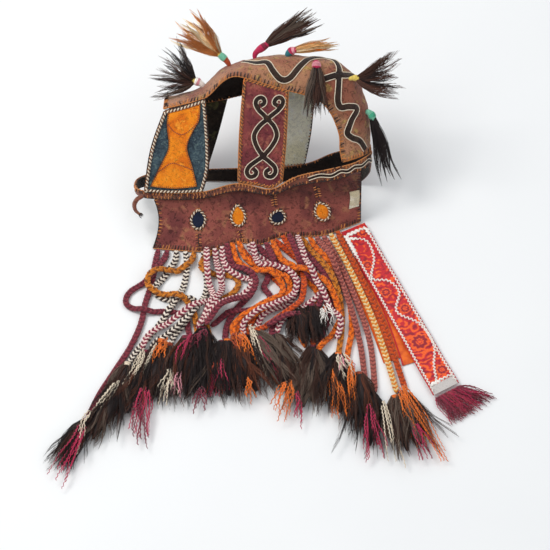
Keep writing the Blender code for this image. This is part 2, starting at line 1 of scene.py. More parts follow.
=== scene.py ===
"""The looks of the felt head and neck trapping: camera, braids, felt, hair, silk and light."""

import math
import random

import bpy
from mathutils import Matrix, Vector, noise
from mathutils.bvhtree import BVHTree
from mathutils.kdtree import KDTree


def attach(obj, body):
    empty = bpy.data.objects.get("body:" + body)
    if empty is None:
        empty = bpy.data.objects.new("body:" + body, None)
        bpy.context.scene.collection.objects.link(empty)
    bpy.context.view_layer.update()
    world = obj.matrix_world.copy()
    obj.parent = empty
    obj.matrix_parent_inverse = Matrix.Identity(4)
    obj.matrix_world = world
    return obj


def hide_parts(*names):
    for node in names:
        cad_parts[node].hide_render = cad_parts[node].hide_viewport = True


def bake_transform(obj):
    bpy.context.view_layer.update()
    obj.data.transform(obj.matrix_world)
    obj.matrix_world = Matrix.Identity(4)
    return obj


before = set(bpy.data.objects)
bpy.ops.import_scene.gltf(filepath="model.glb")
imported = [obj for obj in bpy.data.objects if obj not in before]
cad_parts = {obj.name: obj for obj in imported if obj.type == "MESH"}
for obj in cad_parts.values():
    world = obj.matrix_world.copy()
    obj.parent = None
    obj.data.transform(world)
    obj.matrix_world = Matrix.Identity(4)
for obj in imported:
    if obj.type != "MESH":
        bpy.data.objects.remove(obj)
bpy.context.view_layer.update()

# The model's own dimensions, in metres
LEAN = math.radians(37.0)
RING_DEPTH = 0.130
FELT = 0.005
BED = 0.0031
FELT_ROUGH = 38.0
SHIFT = Vector((0.001, 0.036, 0.0))
NEAR_Y = 0.137
NEAR_Z = RING_DEPTH * math.sin(LEAN) - BED
UP = Vector((0.0, 0.0, 1.0))

# Applique strips: points across one, radius of the cord along it; height of a short stitch
RIBBON_ACROSS = 5
COUCHED_CORD = 0.0009
STITCH_LIFT = 0.0004

# The view
ELEVATION = math.radians(52.0)
VIEW_DISTANCE = 9.0
FIELD = 1.1

# Plaits: half width and half thickness, strand, repeat of one strand, lay of one on another
PLAIT_HALF_WIDTH = 0.0070
PLAIT_HALF_THICKNESS = 0.0038
PLAIT_STRANDS = 4
PLAIT_STRAND = 0.0026
PLAIT_SQUASH = 0.74
PLAIT_REPEAT = 0.0190
PLAIT_STEP = 0.0012
PLAIT_BESIDE = 0.0130
PLAIT_ABOVE = 0.0078
PLAIT_SLOPE = 0.45
PLAIT_SAMPLES = 150
CENTRE_HEIGHT = 0.0045


def rgb(red, green, blue):
    """A linear colour from the usual 0 to 255 values."""

    def linear(value):
        share = value / 255.0
        if share <= 0.04045:
            return share / 12.92
        return ((share + 0.055) / 1.055) ** 2.4

    return (linear(red), linear(green), linear(blue), 1.0)


CREAM = rgb(228, 212, 188)
CORD_BROWN = rgb(96, 60, 40)
STITCH_TAN = rgb(196, 124, 66)
STITCH_DARK = rgb(52, 32, 26)
THREAD_RED = rgb(128, 48, 34)
HAIR_BLACK = rgb(38, 28, 28)
HAIR_BROWN = rgb(78, 50, 40)
HAIR_GREY = rgb(112, 94, 82)
STRAW = rgb(224, 170, 110)
STRAW_PALE = rgb(244, 220, 178)
STRAW_DARK = rgb(190, 116, 60)
MAGENTA = rgb(184, 36, 78)
PINK = rgb(224, 150, 160)
WHITE = rgb(250, 244, 236)
ORANGE = rgb(226, 112, 28)
RUST = rgb(170, 70, 34)
MINT = rgb(120, 190, 160)
TEAL = rgb(40, 110, 120)
YELLOW = rgb(222, 196, 96)
WINE = rgb(126, 34, 56)
CREST_TONES = (STITCH_TAN, STITCH_DARK)
EDGE_TONES = (STITCH_TAN, STITCH_DARK, CORD_BROWN)


# ---------------------------------------------------------------- small geometry helpers
def hood_point(x, h, g):
    """The hood's own frame: x to the right, h up its near face, g from near to far edge."""
    y = NEAR_Y + h * math.sin(LEAN) + g * math.cos(LEAN)
    z = NEAR_Z + h * math.cos(LEAN) - g * math.sin(LEAN)
    return Vector((x, y, z)) + SHIFT


def hood_direction(x, h, g):
    return (hood_point(x, h, g) - hood_point(0.0, 0.0, 0.0)).normalized()


def above_floor(point, least=0.0003):
    return Vector((point.x, point.y, max(point.z, least)))


def smooth_value(points, t, closed=False):
    """A Catmull-Rom value at t, where whole numbers are the points themselves."""
    count = len(points)
    base = math.floor(t)
    f = t - base

    def pick(i):
        if closed:
            return points[i % count]
        return points[max(0, min(count - 1, i))]

    p0, p1, p2, p3 = (Vector(pick(base + k)) for k in (-1, 0, 1, 2))
    return 0.5 * (
        2.0 * p1
        + (p2 - p0) * f
        + (2.0 * p0 - 5.0 * p1 + 4.0 * p2 - p3) * f * f
        + (3.0 * p1 - p0 - 3.0 * p2 + p3) * f ** 3
    )


def length_of(line):
    return sum((b - a).length for a, b in zip(line, line[1:]))


def ahead_of(line, i):
    """The direction of a polyline at its point i."""
    return (line[min(i + 1, len(line) - 1)] - line[max(i - 1, 0)]).normalized()


def respaced(line, count):
    """The polyline again as count points at even steps of its length."""
    travelled = [0.0]
    for a, b in zip(line, line[1:]):
        travelled.append(travelled[-1] + (b - a).length)
    out = []
    k = 0
    for i in range(count):
        goal = travelled[-1] * i / (count - 1)
        while k < len(line) - 2 and travelled[k + 1] < goal:
            k += 1
        span = max(travelled[k + 1] - travelled[k], 1e-9)
        out.append(line[k].lerp(line[k + 1], (goal - travelled[k]) / span))
    return out


def smooth_line(points, step, closed=False):
    """A smooth line through the points, sampled about every step."""
    spans = len(points) if closed else len(points) - 1
    fine = [smooth_value(points, i / 12.0, closed) for i in range(spans * 12 + 1)]
    return respaced(fine, max(3, round(length_of(fine) / step) + 1))


def evenly(points, count):
    fine = [smooth_value(points, i * (len(points) - 1) / (8 * count)) for i in range(8 * count + 1)]
    return respaced(fine, count)


def mixed(a, b, share):
    return tuple(p + (q - p) * share for p, q in zip(a, b))


def varied(tone, rng, spread):
    factor = 1.0 + rng.uniform(-spread, spread)
    return (tone[0] * factor, tone[1] * factor, tone[2] * factor, 1.0)


# ---------------------------------------------------------------- meshes
class Gather:
    """Tubes and ribbons gathered into one mesh, with a colour at every point."""

    def __init__(self):
        self.points = []
        self.faces = []
        self.tones = []

    def tube(self, path, radii, tones, sides=5, squash=1.0):
        first = len(self.points)
        last = len(path) - 1
        side = None
        for i, point in enumerate(path):
            ahead = ahead_of(path, i)
            if side is None:
                side = ahead.cross(UP)
                if side.length < 0.05:
                    side = ahead.cross(Vector((1.0, 0.3, 0.0)))
            side = (side - ahead * side.dot(ahead)).normalized()
            lift = side.cross(ahead)
            radius = radii[i] if isinstance(radii, list) else radii
            tone = tones[i] if isinstance(tones, list) else tones
            for k in range(sides):
                turn = 2.0 * math.pi * k / sides
                offset = side * (math.cos(turn) * radius) + lift * (math.sin(turn) * radius * squash)
                self.points.append(point + offset)
                self.tones.append(tone)
        for i in range(last):
            a = first + i * sides
            for k in range(sides):
                n = (k + 1) % sides
                self.faces.append((a + k, a + sides + k, a + sides + n, a + n))
        self.faces.append(tuple(first + k for k in range(sides)))
        end = first + last * sides
        self.faces.append(tuple(end + k for k in reversed(range(sides))))

    def finish(self, name, paint, body, slot, node=None):
        mesh = bpy.data.meshes.new(name)
        mesh.from_pydata([tuple(p) for p in self.points], [], self.faces)
        tone = mesh.attributes.new("tone", "FLOAT_COLOR", "POINT")
        tone.data.foreach_set("color", [c for t in self.tones for c in t])
        obj = placed(name, mesh, paint, body)
        assign(obj, node)
        return obj


def assign(obj, node=None):
    """Hides the CAD node that the piece replaces, if any."""
    if node:
        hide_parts(node)


def placed(name, mesh, paint, body, smooth=True):
    for each in paint if isinstance(paint, tuple) else (paint,):
        mesh.materials.append(each)
    if smooth:
        mesh.shade_smooth()
    obj = bpy.data.objects.new(name, mesh)
    bpy.context.collection.objects.link(obj)
    if body:
        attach(obj, body)
    return obj


def cloth(name, grid, thickness, paint, body, lump=0.0006, closed=False):
    """A closed felt or cloth piece on a grid of outer points, lined with its second material."""
    rows = len(grid)
    columns = len(grid[0])

    def at(r, c):
        r = r % rows if closed else max(0, min(rows - 1, r))
        return grid[r][max(0, min(columns - 1, c))]

    front, back = [], []
    for r in range(rows):
        for c in range(columns):
            normal = (at(r + 1, c) - at(r - 1, c)).cross(at(r, c + 1) - at(r, c - 1)).normalized()
            swell = noise.noise(grid[r][c] * FELT_ROUGH) + 0.5 * noise.noise(grid[r][c] * FELT_ROUGH * 2.7)
            rim = c in (0, columns - 1) or (not closed and r in (0, rows - 1))
            chamfer = 0.3 * thickness if rim else 0.0
            front.append(above_floor(grid[r][c] + normal * (swell * lump - chamfer)))
            back.append(above_floor(grid[r][c] + normal * (swell * lump - thickness + chamfer)))
    faces, sides = [], []
    total = rows * columns

    def index(r, c):
        return (r % rows) * columns + c

    for r in range(rows if closed else rows - 1):
        for c in range(columns - 1):
            a, b, d, e = index(r, c), index(r + 1, c), index(r + 1, c + 1), index(r, c + 1)
            faces.append((a, b, d, e))
            sides.append(0)
            faces.append((total + a, total + e, total + d, total + b))
            sides.append(1)
        for c, way in ((0, 1), (columns - 1, -1)):
            a, b = index(r, c), index(r + 1, c)
            faces.append((a, b, total + b, total + a)[::way])
            sides.append(0)
    if not closed:
        for r, way in ((0, -1), (rows - 1, 1)):
            for c in range(columns - 1):
                a, b = index(r, c), index(r, c + 1)
                faces.append((a, b, total + b, total + a)[::way])
                sides.append(0)
    mesh = bpy.data.meshes.new(name)
    mesh.from_pydata([tuple(p) for p in front + back], [], faces)
    paints = paint if isinstance(paint, tuple) else (paint, paint)
    obj = placed(name, mesh, paints, None)
    obj.data.polygons.foreach_set("material_index", sides)
    if body:
        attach(obj, body)
    return obj


def tree_of(obj):
    mesh = obj.data
    return BVHTree.FromPolygons([v.co for v in mesh.vertices], [tuple(p.vertices) for p in mesh.polygons])


def on_surface(tree, point, facing, lift):
    """The nearest place of the surface to the point on the side that faces the given way."""
    hit, normal, _, _ = tree.ray_cast(point + facing * 0.03, -facing, 0.08)
    if hit is None:
        hit, normal, _, _ = tree.find_nearest(point)
    if normal.dot(facing) < 0.0:
        normal = -normal
    return hit + normal * lift, normal


def ribbon(gather, tree, line, facings, half_width, lift, tone):
    """A flat applique strip laid on a surface along a line."""
    first = len(gather.points)
    for i, point in enumerate(line):
        side = ahead_of(line, i).cross(facings[i]).normalized()
        for k in range(RIBBON_ACROSS):
            share = 2.0 * k / (RIBBON_ACROSS - 1) - 1.0
            height = lift if abs(share) < 0.99 else 0.1 * lift
            spot, _ = on_surface(tree, point + side * (half_width * share), facings[i], height)
            gather.points.append(spot)
            gather.tones.append(tone)
    for i in range(len(line) - 1):
        for k in range(RIBBON_ACROSS - 1):
            a = first + i * RIBBON_ACROSS + k
            gather.faces.append((a, a + RIBBON_ACROSS, a + RIBBON_ACROSS + 1, a + 1))


def outlines(lines, facings, half_width):
    """The lines that edge a set of crossing strips, broken where a strip crosses another."""
    pieces = []
    for n, line in enumerate(lines):
        others = [p for m, other in enumerate(lines) if m != n for p in other]
        for way in (-1.0, 1.0):
            run = []
            for i, point in enumerate(line):
                spot = point + ahead_of(line, i).cross(facings[n][i]).normalized() * (half_width * way)
                own = [line[k] for k in range(len(line)) if abs(k - i) > 6]
                if any((spot - q).length < half_width * 0.93 for q in others + own):
                    if len(run) > 2:
                        pieces.append(run)
                    run = []
                else:
                    run.append((spot, facings[n][i]))
            if len(run) > 2:
                pieces.append(run)
    return pieces


def two_ply(gather, line, facings, radius, pitch, tones):
    """Two yarns twisted round each other along a line, each with its own colour."""
    steps = max(8, round(length_of(line) / pitch * 7))
    fine = respaced(line, steps)
    faces = respaced([Vector(f) for f in facings], steps)
    travelled = 0.0
    strands = [[], []]
    for i, point in enumerate(fine):
        normal = faces[i].normalized()
        side = ahead_of(fine, i).cross(normal).normalized()
        if i:
            travelled += (point - fine[i - 1]).length
        for n in (0, 1):
            turn = 2.0 * math.pi * (travelled / pitch + 0.5 * n)
            strands[n].append(point + (side * math.cos(turn) + normal * math.sin(turn)) * radius * 0.75)
    for n in (0, 1):
        gather.tube(strands[n], radius * 0.86, tones[n], sides=6)


def blanket(gather, edge, inward, facing, spacing, depth, thickness, tones, rng, radius=0.0010, tree=None):
    """Blanket stitches over an edge: a thread along it and a short leg at every stitch."""
    count = max(4, round(length_of(edge) / spacing))
    places = respaced(edge, count)
    ins = respaced([Vector(v) for v in inward], count)
    outs = respaced([Vector(v) for v in facing], count)
    for i in range(count):
        along = ahead_of(places, i)
        into, out = ins[i].normalized(), outs[i].normalized()
        slant = along * (spacing * rng.uniform(-0.18, 0.28))
        reach = depth * rng.uniform(0.8, 1.12)
        tone = varied(rng.choice(tones), rng, 0.2)
        leg = [places[i] + into * (share * reach) + slant * share for share in (1.0, 0.8, 0.45)]
        if tree:
            leg = [on_surface(tree, p, out, 0.0006)[0] for p in leg]
        else:
            leg = [p + out * 0.0010 for p in leg]
        leg[0] -= out * 0.0012
        path = leg + [
            places[i] + into * 0.0004 + out * 0.0007,
            places[i] - into * 0.0009 - out * (0.5 * thickness),
            places[i] + into * 0.0006 - out * (thickness + 0.0006),
            places[i] + into * (0.5 * reach) - out * (thickness + 0.0006),
        ]
        gather.tube(path, radius, tone, sides=5)
    rim = []
    for p, v, o in zip(places, ins, outs):
        rim.append(p - v.normalized() * 0.0008 - o.normalized() * (0.12 * thickness))
    gather.tube(rim, radius * 1.1, tones[0], sides=5)


def running_stitch(gather, tree, line, facings, stitch, radius, tone):
    """A dashed line of short thread stitches on a surface."""
    count = max(2, round(length_of(line) / stitch))
    places = respaced(line, 2 * count)
    outs = respaced([Vector(f) for f in facings], 2 * count)
    for i in range(0, 2 * count - 1, 2):
        a, normal = on_surface(tree, places[i], outs[i].normalized(), STITCH_LIFT * 0.2)
        b, _ = on_surface(tree, places[i + 1], outs[i + 1].normalized(), STITCH_LIFT * 0.2)
        middle = (a + b) / 2.0 + normal * (STITCH_LIFT + radius)
        gather.tube([a, middle, b], radius, tone, sides=5)


# ---------------------------------------------------------------- materials
class Paint:
    """One procedural material, built from noise in the object's own coordinates."""

    def __init__(self, name, roughness, sheen=0.0, specular=0.35):
        self.material = bpy.data.materials.new(name)
        self.material.use_nodes = True
        self.tree = self.material.node_tree
        self.shader = self.tree.nodes["Principled BSDF"]
        self.shader.inputs["Roughness"].default_value = roughness
        self.shader.inputs["Sheen Weight"].default_value = sheen
        self.shader.inputs["Sheen Roughness"].default_value = 0.5
        self.shader.inputs["Specular IOR Level"].default_value = specular
        self.place = self.tree.nodes.new("ShaderNodeTexCoord").outputs["Object"]

    def node(self, kind, **inputs):
        made = self.tree.nodes.new(kind)
        for key, value in inputs.items():
            self.feed(made.inputs[key], value)
        return made

    def feed(self, socket, value):
        if isinstance(value, bpy.types.NodeSocket):
            self.tree.links.new(value, socket)
        else:
            socket.default_value = value

    def noise(self, scale, detail=3.0, distortion=0.0):
        made = self.node("ShaderNodeTexNoise", Scale=scale, Detail=detail, Distortion=distortion)
        self.tree.links.new(self.place, made.inputs["Vector"])
        return made.outputs["Fac"]

    def math(self, operation, a, b):
        made = self.tree.nodes.new("ShaderNodeMath")
        made.operation = operation
        self.feed(made.inputs[0], a)
        self.feed(made.inputs[1], b)
        return made.outputs[0]

    def spread(self, value, low, high, to_low=0.0, to_high=1.0):
        made = self.tree.nodes.new("ShaderNodeMapRange")
        made.interpolation_type = "SMOOTHSTEP"
        self.feed(made.inputs["Value"], value)
        for key, number in (("From Min", low), ("From Max", high), ("To Min", to_low), ("To Max", to_high)):
            made.inputs[key].default_value = number
        return made.outputs["Result"]

    def mix(self, factor, a, b, way="MIX"):
        made = self.tree.nodes.new("ShaderNodeMix")
        made.data_type = "RGBA"
        made.blend_type = way
        self.feed(made.inputs[0], factor)
        self.feed(made.inputs[6], a)
        self.feed(made.inputs[7], b)
        return made.outputs[2]

    def brighten(self, colour, value):
        """The colour times a grey value."""
        grey = self.node("ShaderNodeCombineColor", Red=value, Green=value, Blue=value)
        return self.mix(1.0, colour, grey.outputs[0], "MULTIPLY")

    def finish(self, colour, height, strength, distance=0.001):
        self.tree.links.new(colour, self.shader.inputs["Base Color"])
        bump = self.node("ShaderNodeBump", Strength=strength, Distance=distance, Height=height)
        self.tree.links.new(bump.outputs["Normal"], self.shader.inputs["Normal"])
        return self.material


def felt(name, base, second, third, dark=0.55, second_scale=16.0, third_scale=48.0, overhang_shade=None):
    """Hand made felt: two mottled colours, matted fibres, small worn pits, and painted shade higher up where
    the ring overhangs.
    """
    paint = Paint(name, 0.94, sheen=0.22, specular=0.2)
    colour = paint.mix(paint.spread(paint.noise(second_scale, 3.0, 0.6), 0.42, 0.62), base, second)
    colour = paint.mix(paint.spread(paint.noise(third_scale, 4.0, 1.2), 0.52, 0.72), colour, third)
    fibre = paint.noise(620.0, 4.0, 2.5)
    clot = paint.noise(150.0, 3.0, 1.0)
    colour = paint.brighten(colour, paint.spread(fibre, 0.3, 0.7, 0.78, 1.22))
    colour = paint.brighten(colour, paint.spread(clot, 0.34, 0.5, dark, 1.04))
    if overhang_shade:
        # Painted shade: the colour darkens with the object's height, standing in for the ring's shadow on the
        # curtain's top.
        height = paint.node("ShaderNodeSeparateXYZ", Vector=paint.place).outputs[2]
        uneven = paint.math("ADD", height, paint.math("MULTIPLY", paint.noise(22.0), 0.02))
        colour = paint.brighten(colour, paint.spread(uneven, overhang_shade[0], overhang_shade[1], 1.0, overhang_shade[2]))
    height = paint.math("ADD", fibre, paint.math("MULTIPLY", clot, 1.6))
    return paint.finish(colour, height, 0.75, 0.0012)


def yarn(name, roughness=0.8, sheen=0.25, specular=0.25, fibre_scale=900.0):
    """Wool, cord or hair whose colour comes from the mesh, with fine fibres."""
    paint = Paint(name, roughness, sheen=sheen, specular=specular)
    tone = paint.tree.nodes.new("ShaderNodeAttribute")
    tone.attribute_name = "tone"
    fibre = paint.noise(fibre_scale, 3.0, 1.0)
    colour = paint.brighten(tone.outputs["Color"], paint.spread(fibre, 0.3, 0.7, 0.7, 1.25))
    return paint.finish(colour, fibre, 0.5, 0.0006)


# ---------------------------------------------------------------- the view
def make_view():
    target = SHIFT.copy()
    camera = bpy.data.cameras.new("camera")
    camera.sensor_width = 36.0
    camera.lens = 36.0 * VIEW_DISTANCE / FIELD
    camera.clip_end = 40.0
    eye = bpy.data.objects.new("camera", camera)
    away = Vector((0.0, -math.cos(ELEVATION), math.sin(ELEVATION)))
    eye.location = target + away * VIEW_DISTANCE
    eye.rotation_euler = (-away).to_track_quat("-Z", "Y").to_euler()
    bpy.context.collection.objects.link(eye)
    bpy.context.scene.camera = eye


# ---------------------------------------------------------------- braids
# Each yarn: the colours of a plait's four strands, and of its undone end
PLAIT_TONES = {
    "maroon": (rgb(132, 48, 62), rgb(110, 36, 50), rgb(142, 60, 70), rgb(94, 30, 44)),
    "black_white": (rgb(238, 228, 212), rgb(46, 32, 32), rgb(232, 220, 204), rgb(58, 38, 36)),
    "mustard": (rgb(200, 120, 30), rgb(184, 104, 24), rgb(126, 72, 28), rgb(208, 130, 42)),
    "pink_white": (rgb(240, 216, 208), rgb(146, 48, 70), rgb(236, 206, 198), rgb(124, 40, 58)),
    "rust": (rgb(214, 88, 26), rgb(186, 66, 22), rgb(206, 80, 24), rgb(138, 54, 26)),
    "orange": (rgb(234, 118, 20), rgb(220, 100, 16), rgb(168, 78, 24), rgb(230, 112, 20)),
    "brown_pink": (rgb(190, 108, 94), rgb(140, 72, 66), rgb(182, 100, 88), rgb(128, 62, 58)),
    "yellow_cream": (rgb(242, 222, 172), rgb(226, 140, 40), rgb(236, 206, 140), rgb(206, 116, 32)),
}

# Each braid: its yarn, then its route on the floor from the curtain's edge to its tassel
BRAIDS = (
    ("maroon", (
        (-0.234, 0.061), (-0.240, 0.025), (-0.246, -0.025), (-0.258, -0.076), (-0.266, -0.127),
        (-0.286, -0.185), (-0.314, -0.241), (-0.343, -0.299), (-0.367, -0.362),
    )),
    ("maroon", (
        (-0.216, 0.058), (-0.224, 0.033), (-0.250, -0.013), (-0.290, -0.048), (-0.294, -0.079),
        (-0.258, -0.096), (-0.210, -0.096), (-0.178, -0.109), (-0.172, -0.140), (-0.166, -0.176),
    )),
    ("black_white", (
        (-0.198, 0.057), (-0.200, 0.033), (-0.218, -0.003), (-0.240, -0.043), (-0.214, -0.066),
        (-0.170, -0.061), (-0.158, -0.084), (-0.178, -0.127), (-0.198, -0.155), (-0.206, -0.178),
    )),
    ("black_white", (
        (-0.180, 0.055), (-0.176, 0.018), (-0.184, -0.038), (-0.210, -0.094), (-0.240, -0.146),
        (-0.270, -0.190), (-0.288, -0.224),
    )),
    ("mustard", (
        (-0.162, 0.054), (-0.170, 0.024), (-0.198, 0.004), (-0.227, 0.003), (-0.250, -0.012),
        (-0.253, -0.035), (-0.236, -0.054), (-0.206, -0.061), (-0.181, -0.069), (-0.166, -0.092),
        (-0.156, -0.130), (-0.150, -0.176),
    )),
    ("black_white", (
        (-0.144, 0.055), (-0.140, 0.013), (-0.136, -0.038), (-0.154, -0.094), (-0.186, -0.134),
        (-0.232, -0.168), (-0.246, -0.195),
    )),
    ("mustard", (
        (-0.126, 0.056), (-0.144, 0.028), (-0.146, 0.008), (-0.126, -0.002), (-0.100, -0.004),
        (-0.080, -0.010), (-0.073, -0.029), (-0.087, -0.052), (-0.114, -0.070), (-0.132, -0.092),
        (-0.136, -0.124), (-0.126, -0.172),
    )),
    ("pink_white", (
        (-0.108, 0.060), (-0.108, 0.023), (-0.106, -0.025), (-0.114, -0.065), (-0.164, -0.100),
        (-0.214, -0.130), (-0.250, -0.160), (-0.262, -0.194),
    )),
    ("maroon", (
        (-0.090, 0.069), (-0.074, 0.033), (-0.046, -0.013), (-0.050, -0.053), (-0.080, -0.094),
        (-0.096, -0.135), (-0.099, -0.172),
    )),
    ("rust", (
        (-0.072, 0.076), (-0.054, 0.043), (-0.010, -0.003), (0.018, -0.043), (-0.002, -0.085),
        (-0.040, -0.112), (-0.052, -0.140), (-0.053, -0.157),
    )),
    ("pink_white", (
        (-0.054, 0.074), (-0.034, 0.043), (0.018, 0.008), (0.046, -0.028), (0.026, -0.075),
        (-0.020, -0.105), (-0.036, -0.135), (-0.038, -0.157),
    )),
    ("maroon", (
        (-0.036, 0.072), (-0.010, 0.038), (0.034, -0.013), (0.054, -0.053), (0.034, -0.095),
        (0.002, -0.125), (-0.010, -0.153),
    )),
    ("orange", (
        (-0.018, 0.076), (0.014, 0.038), (0.062, -0.013), (0.086, -0.058), (0.062, -0.104),
        (0.050, -0.145), (0.060, -0.183),
    )),
    ("rust", (
        (0.000, 0.085), (0.034, 0.048), (0.082, -0.003), (0.106, -0.053), (0.094, -0.105),
        (0.078, -0.150), (0.076, -0.184),
    )),
    ("pink_white", (
        (0.018, 0.091), (0.042, 0.053), (0.074, 0.008), (0.102, -0.028), (0.078, -0.070),
        (0.034, -0.100), (0.010, -0.130), (0.004, -0.154),
    )),
    ("maroon", (
        (0.036, 0.092), (0.058, 0.048), (0.094, -0.003), (0.118, -0.053), (0.106, -0.114),
        (0.094, -0.150), (0.091, -0.184),
    )),
    ("mustard", (
        (0.054, 0.092), (0.078, 0.043), (0.110, -0.013), (0.130, -0.074), (0.132, -0.140),
        (0.126, -0.195), (0.122, -0.240),
    )),
    ("orange", (
        (0.070, 0.092), (0.093, 0.043), (0.126, -0.013), (0.148, -0.074), (0.152, -0.140),
        (0.144, -0.195), (0.139, -0.240),
    )),
    ("brown_pink", (
        (0.084, 0.093), (0.110, 0.033), (0.136, -0.038), (0.156, -0.114), (0.170, -0.190),
        (0.179, -0.294),
    )),
    ("brown_pink", (
        (0.098, 0.095), (0.126, 0.033), (0.152, -0.038), (0.175, -0.114), (0.190, -0.190),
        (0.196, -0.294),
    )),
    ("yellow_cream", (
        (0.112, 0.101), (0.141, 0.033), (0.168, -0.038), (0.194, -0.114), (0.216, -0.195),
        (0.239, -0.296),
    )),
    ("rust", (
        (0.126, 0.107), (0.157, 0.027), (0.184, -0.043), (0.212, -0.119), (0.235, -0.206),
        (0.256, -0.290),
    )),
)


# Braids that only the looks have, laid over the model's own
LOOSE_BRAIDS = (
    ("pink_white", (
        (-0.137, 0.057), (-0.136, 0.017), (-0.133, -0.021), (-0.126, -0.050), (-0.123, -0.075),
        (-0.138, -0.109), (-0.153, -0.143),
    )),
    ("pink_white", (
        (-0.121, 0.057), (-0.116, 0.017), (-0.109, -0.021), (-0.105, -0.046), (-0.115, -0.079),
        (-0.131, -0.105), (-0.146, -0.140),
    )),
    ("maroon", (
        (-0.018, 0.072), (-0.003, 0.022), (-0.013, -0.012), (-0.022, -0.035), (-0.010, -0.058),
        (-0.022, -0.080), (-0.062, -0.095), (-0.098, -0.105), (-0.125, -0.134),
    )),
    ("orange", (
        (-0.073, 0.076), (-0.058, 0.034), (-0.018, 0.001), (0.018, -0.012), (0.030, -0.042),
        (0.011, -0.077), (-0.035, -0.105), (-0.071, -0.134), (-0.085, -0.165),
    )),
    ("orange", (
        (-0.086, 0.072), (-0.077, 0.030), (-0.045, 0.001), (-0.005, -0.012), (0.015, -0.037),
        (0.008, -0.067), (-0.032, -0.095), (-0.073, -0.119), (-0.084, -0.147), (-0.072, -0.180),
    )),
    ("pink_white", (
        (-0.106, 0.062), (-0.100, 0.017), (-0.076, -0.009), (-0.048, -0.021), (-0.053, -0.046),
        (-0.085, -0.073), (-0.116, -0.103), (-0.138, -0.138),
    )),
    ("maroon", (
        (-0.097, 0.066), (-0.085, 0.017), (-0.055, -0.002), (-0.038, -0.027), (-0.050, -0.061),
        (-0.085, -0.084), (-0.115, -0.115), (-0.136, -0.149),
    )),
    ("rust", (
        (0.015, 0.090), (0.048, 0.024), (0.058, -0.025), (0.051, -0.075), (0.021, -0.109),
        (-0.018, -0.134), (-0.045, -0.156),
    )),
    ("maroon", (
        (0.028, 0.092), (0.056, 0.005), (0.088, -0.035), (0.093, -0.069), (0.073, -0.098),
        (0.028, -0.117), (-0.015, -0.138),
    )),
    ("pink_white", (
        (-0.045, 0.074), (-0.032, 0.015), (-0.002, 0.008), (0.026, -0.002), (0.043, -0.029),
        (0.035, -0.061), (0.001, -0.090), (-0.042, -0.113), (-0.063, -0.134), (-0.060, -0.160),
    )),
    ("orange", (
        (-0.005, 0.080), (0.010, 0.032), (0.038, 0.004), (0.071, -0.009), (0.101, -0.033),
        (0.121, -0.075), (0.128, -0.122), (0.103, -0.168), (0.076, -0.206),
    )),
    ("pink_white", (
        (0.045, 0.092), (0.058, 0.030), (0.074, -0.012), (0.094, -0.058), (0.111, -0.096),
        (0.130, -0.128), (0.122, -0.168),
    )),
)


def lay_braids():
    """Lays the flat plaits one after another, each over those already on the floor."""
    laid = []
    lines = []
    for _, route in BRAIDS + LOOSE_BRAIDS:
        plan = evenly(route, PLAIT_SAMPLES)
        rise = PLAIT_SLOPE * length_of(plan) / (len(plan) - 1)
        under = KDTree(max(1, len(laid)))
        for i, q in enumerate(laid):
            under.insert((q.x, q.y, 0.0), i)
        under.balance()
        heights = []
        for p in plan:
            height = CENTRE_HEIGHT
            for _, i, apart in under.find_range((p.x, p.y, 0.0), PLAIT_BESIDE):
                over = PLAIT_ABOVE * math.sqrt(max(0.0, 1.0 - (apart / PLAIT_BESIDE) ** 2))
                height = max(height, laid[i].z + over)
            heights.append(height)
        for i in range(1, len(heights)):
            heights[i] = max(heights[i], heights[i - 1] - rise)
        for i in range(len(heights) - 2, -1, -1):
            heights[i] = max(heights[i], heights[i + 1] - rise)
        line = [Vector((p.x, p.y, z)) for p, z in zip(plan, heights)]
        laid.extend(line)
        lines.append(line)
    return lines


def make_plait(number, colour, line, paint):
    """One flat plait of four wool strands, each over from its edge to the middle, then under."""
    name = f"plait_{number:02d}"
    rng = random.Random(500 + number)
    line = [p + SHIFT for p in line]
    path = respaced(line, max(24, round(length_of(line) / PLAIT_STEP)))
    last = len(path) - 1
    reach = PLAIT_HALF_WIDTH - PLAIT_STRAND
    height = PLAIT_HALF_THICKNESS - PLAIT_STRAND * PLAIT_SQUASH
    strands = [[] for _ in range(PLAIT_STRANDS)]
    tones = [[] for _ in range(PLAIT_STRANDS)]
    bases = [varied(tone, rng, 0.08) for tone in PLAIT_TONES[colour]]
    travelled = 0.0
    for i, point in enumerate(path):
        if i:
            travelled += (point - path[i - 1]).length
        ahead = ahead_of(path, i)
        side = ahead.cross(UP).normalized()
        tilt = 0.30 * noise.noise(Vector((travelled * 9.0, number * 3.7, 0.0)))
        side = (side + UP * tilt).normalized()
        lift = side.cross(ahead).normalized()
        swell = 1.0 + 0.10 * noise.noise(Vector((travelled * 30.0, number * 1.9, 4.0)))
        closing = min(1.0, 0.45 + 0.06 * min(i, last - i))
        for k in range(PLAIT_STRANDS):
            turn = 2.0 * math.pi * (travelled / PLAIT_REPEAT + k / PLAIT_STRANDS)
            spot = point + side * (math.cos(turn) * reach * swell * closing)
            spot += lift * (math.sin(2.0 * turn) * height)
            strands[k].append(above_floor(spot, PLAIT_STRAND * PLAIT_SQUASH))
            worn = 1.0 + 0.16 * noise.noise(Vector((travelled * 60.0, number * 5.1, k * 7.0)))
            tones[k].append(tuple(c * worn for c in bases[k][:3]) + (1.0,))
    gather = Gather()
    for strand, tone in zip(strands, tones):
        gather.tube(strand, PLAIT_STRAND, tone, sides=8, squash=PLAIT_SQUASH)
    node = f"braid_{number:02d}" if number <= len(BRAIDS) else None
    obj = gather.finish(name, paint, "neck_curtain", colour, node)


def make_braids(paint):
    every = BRAIDS + LOOSE_BRAIDS
    for i, line in enumerate(lay_braids()):
        make_plait(i + 1, every[i][0], line, paint)


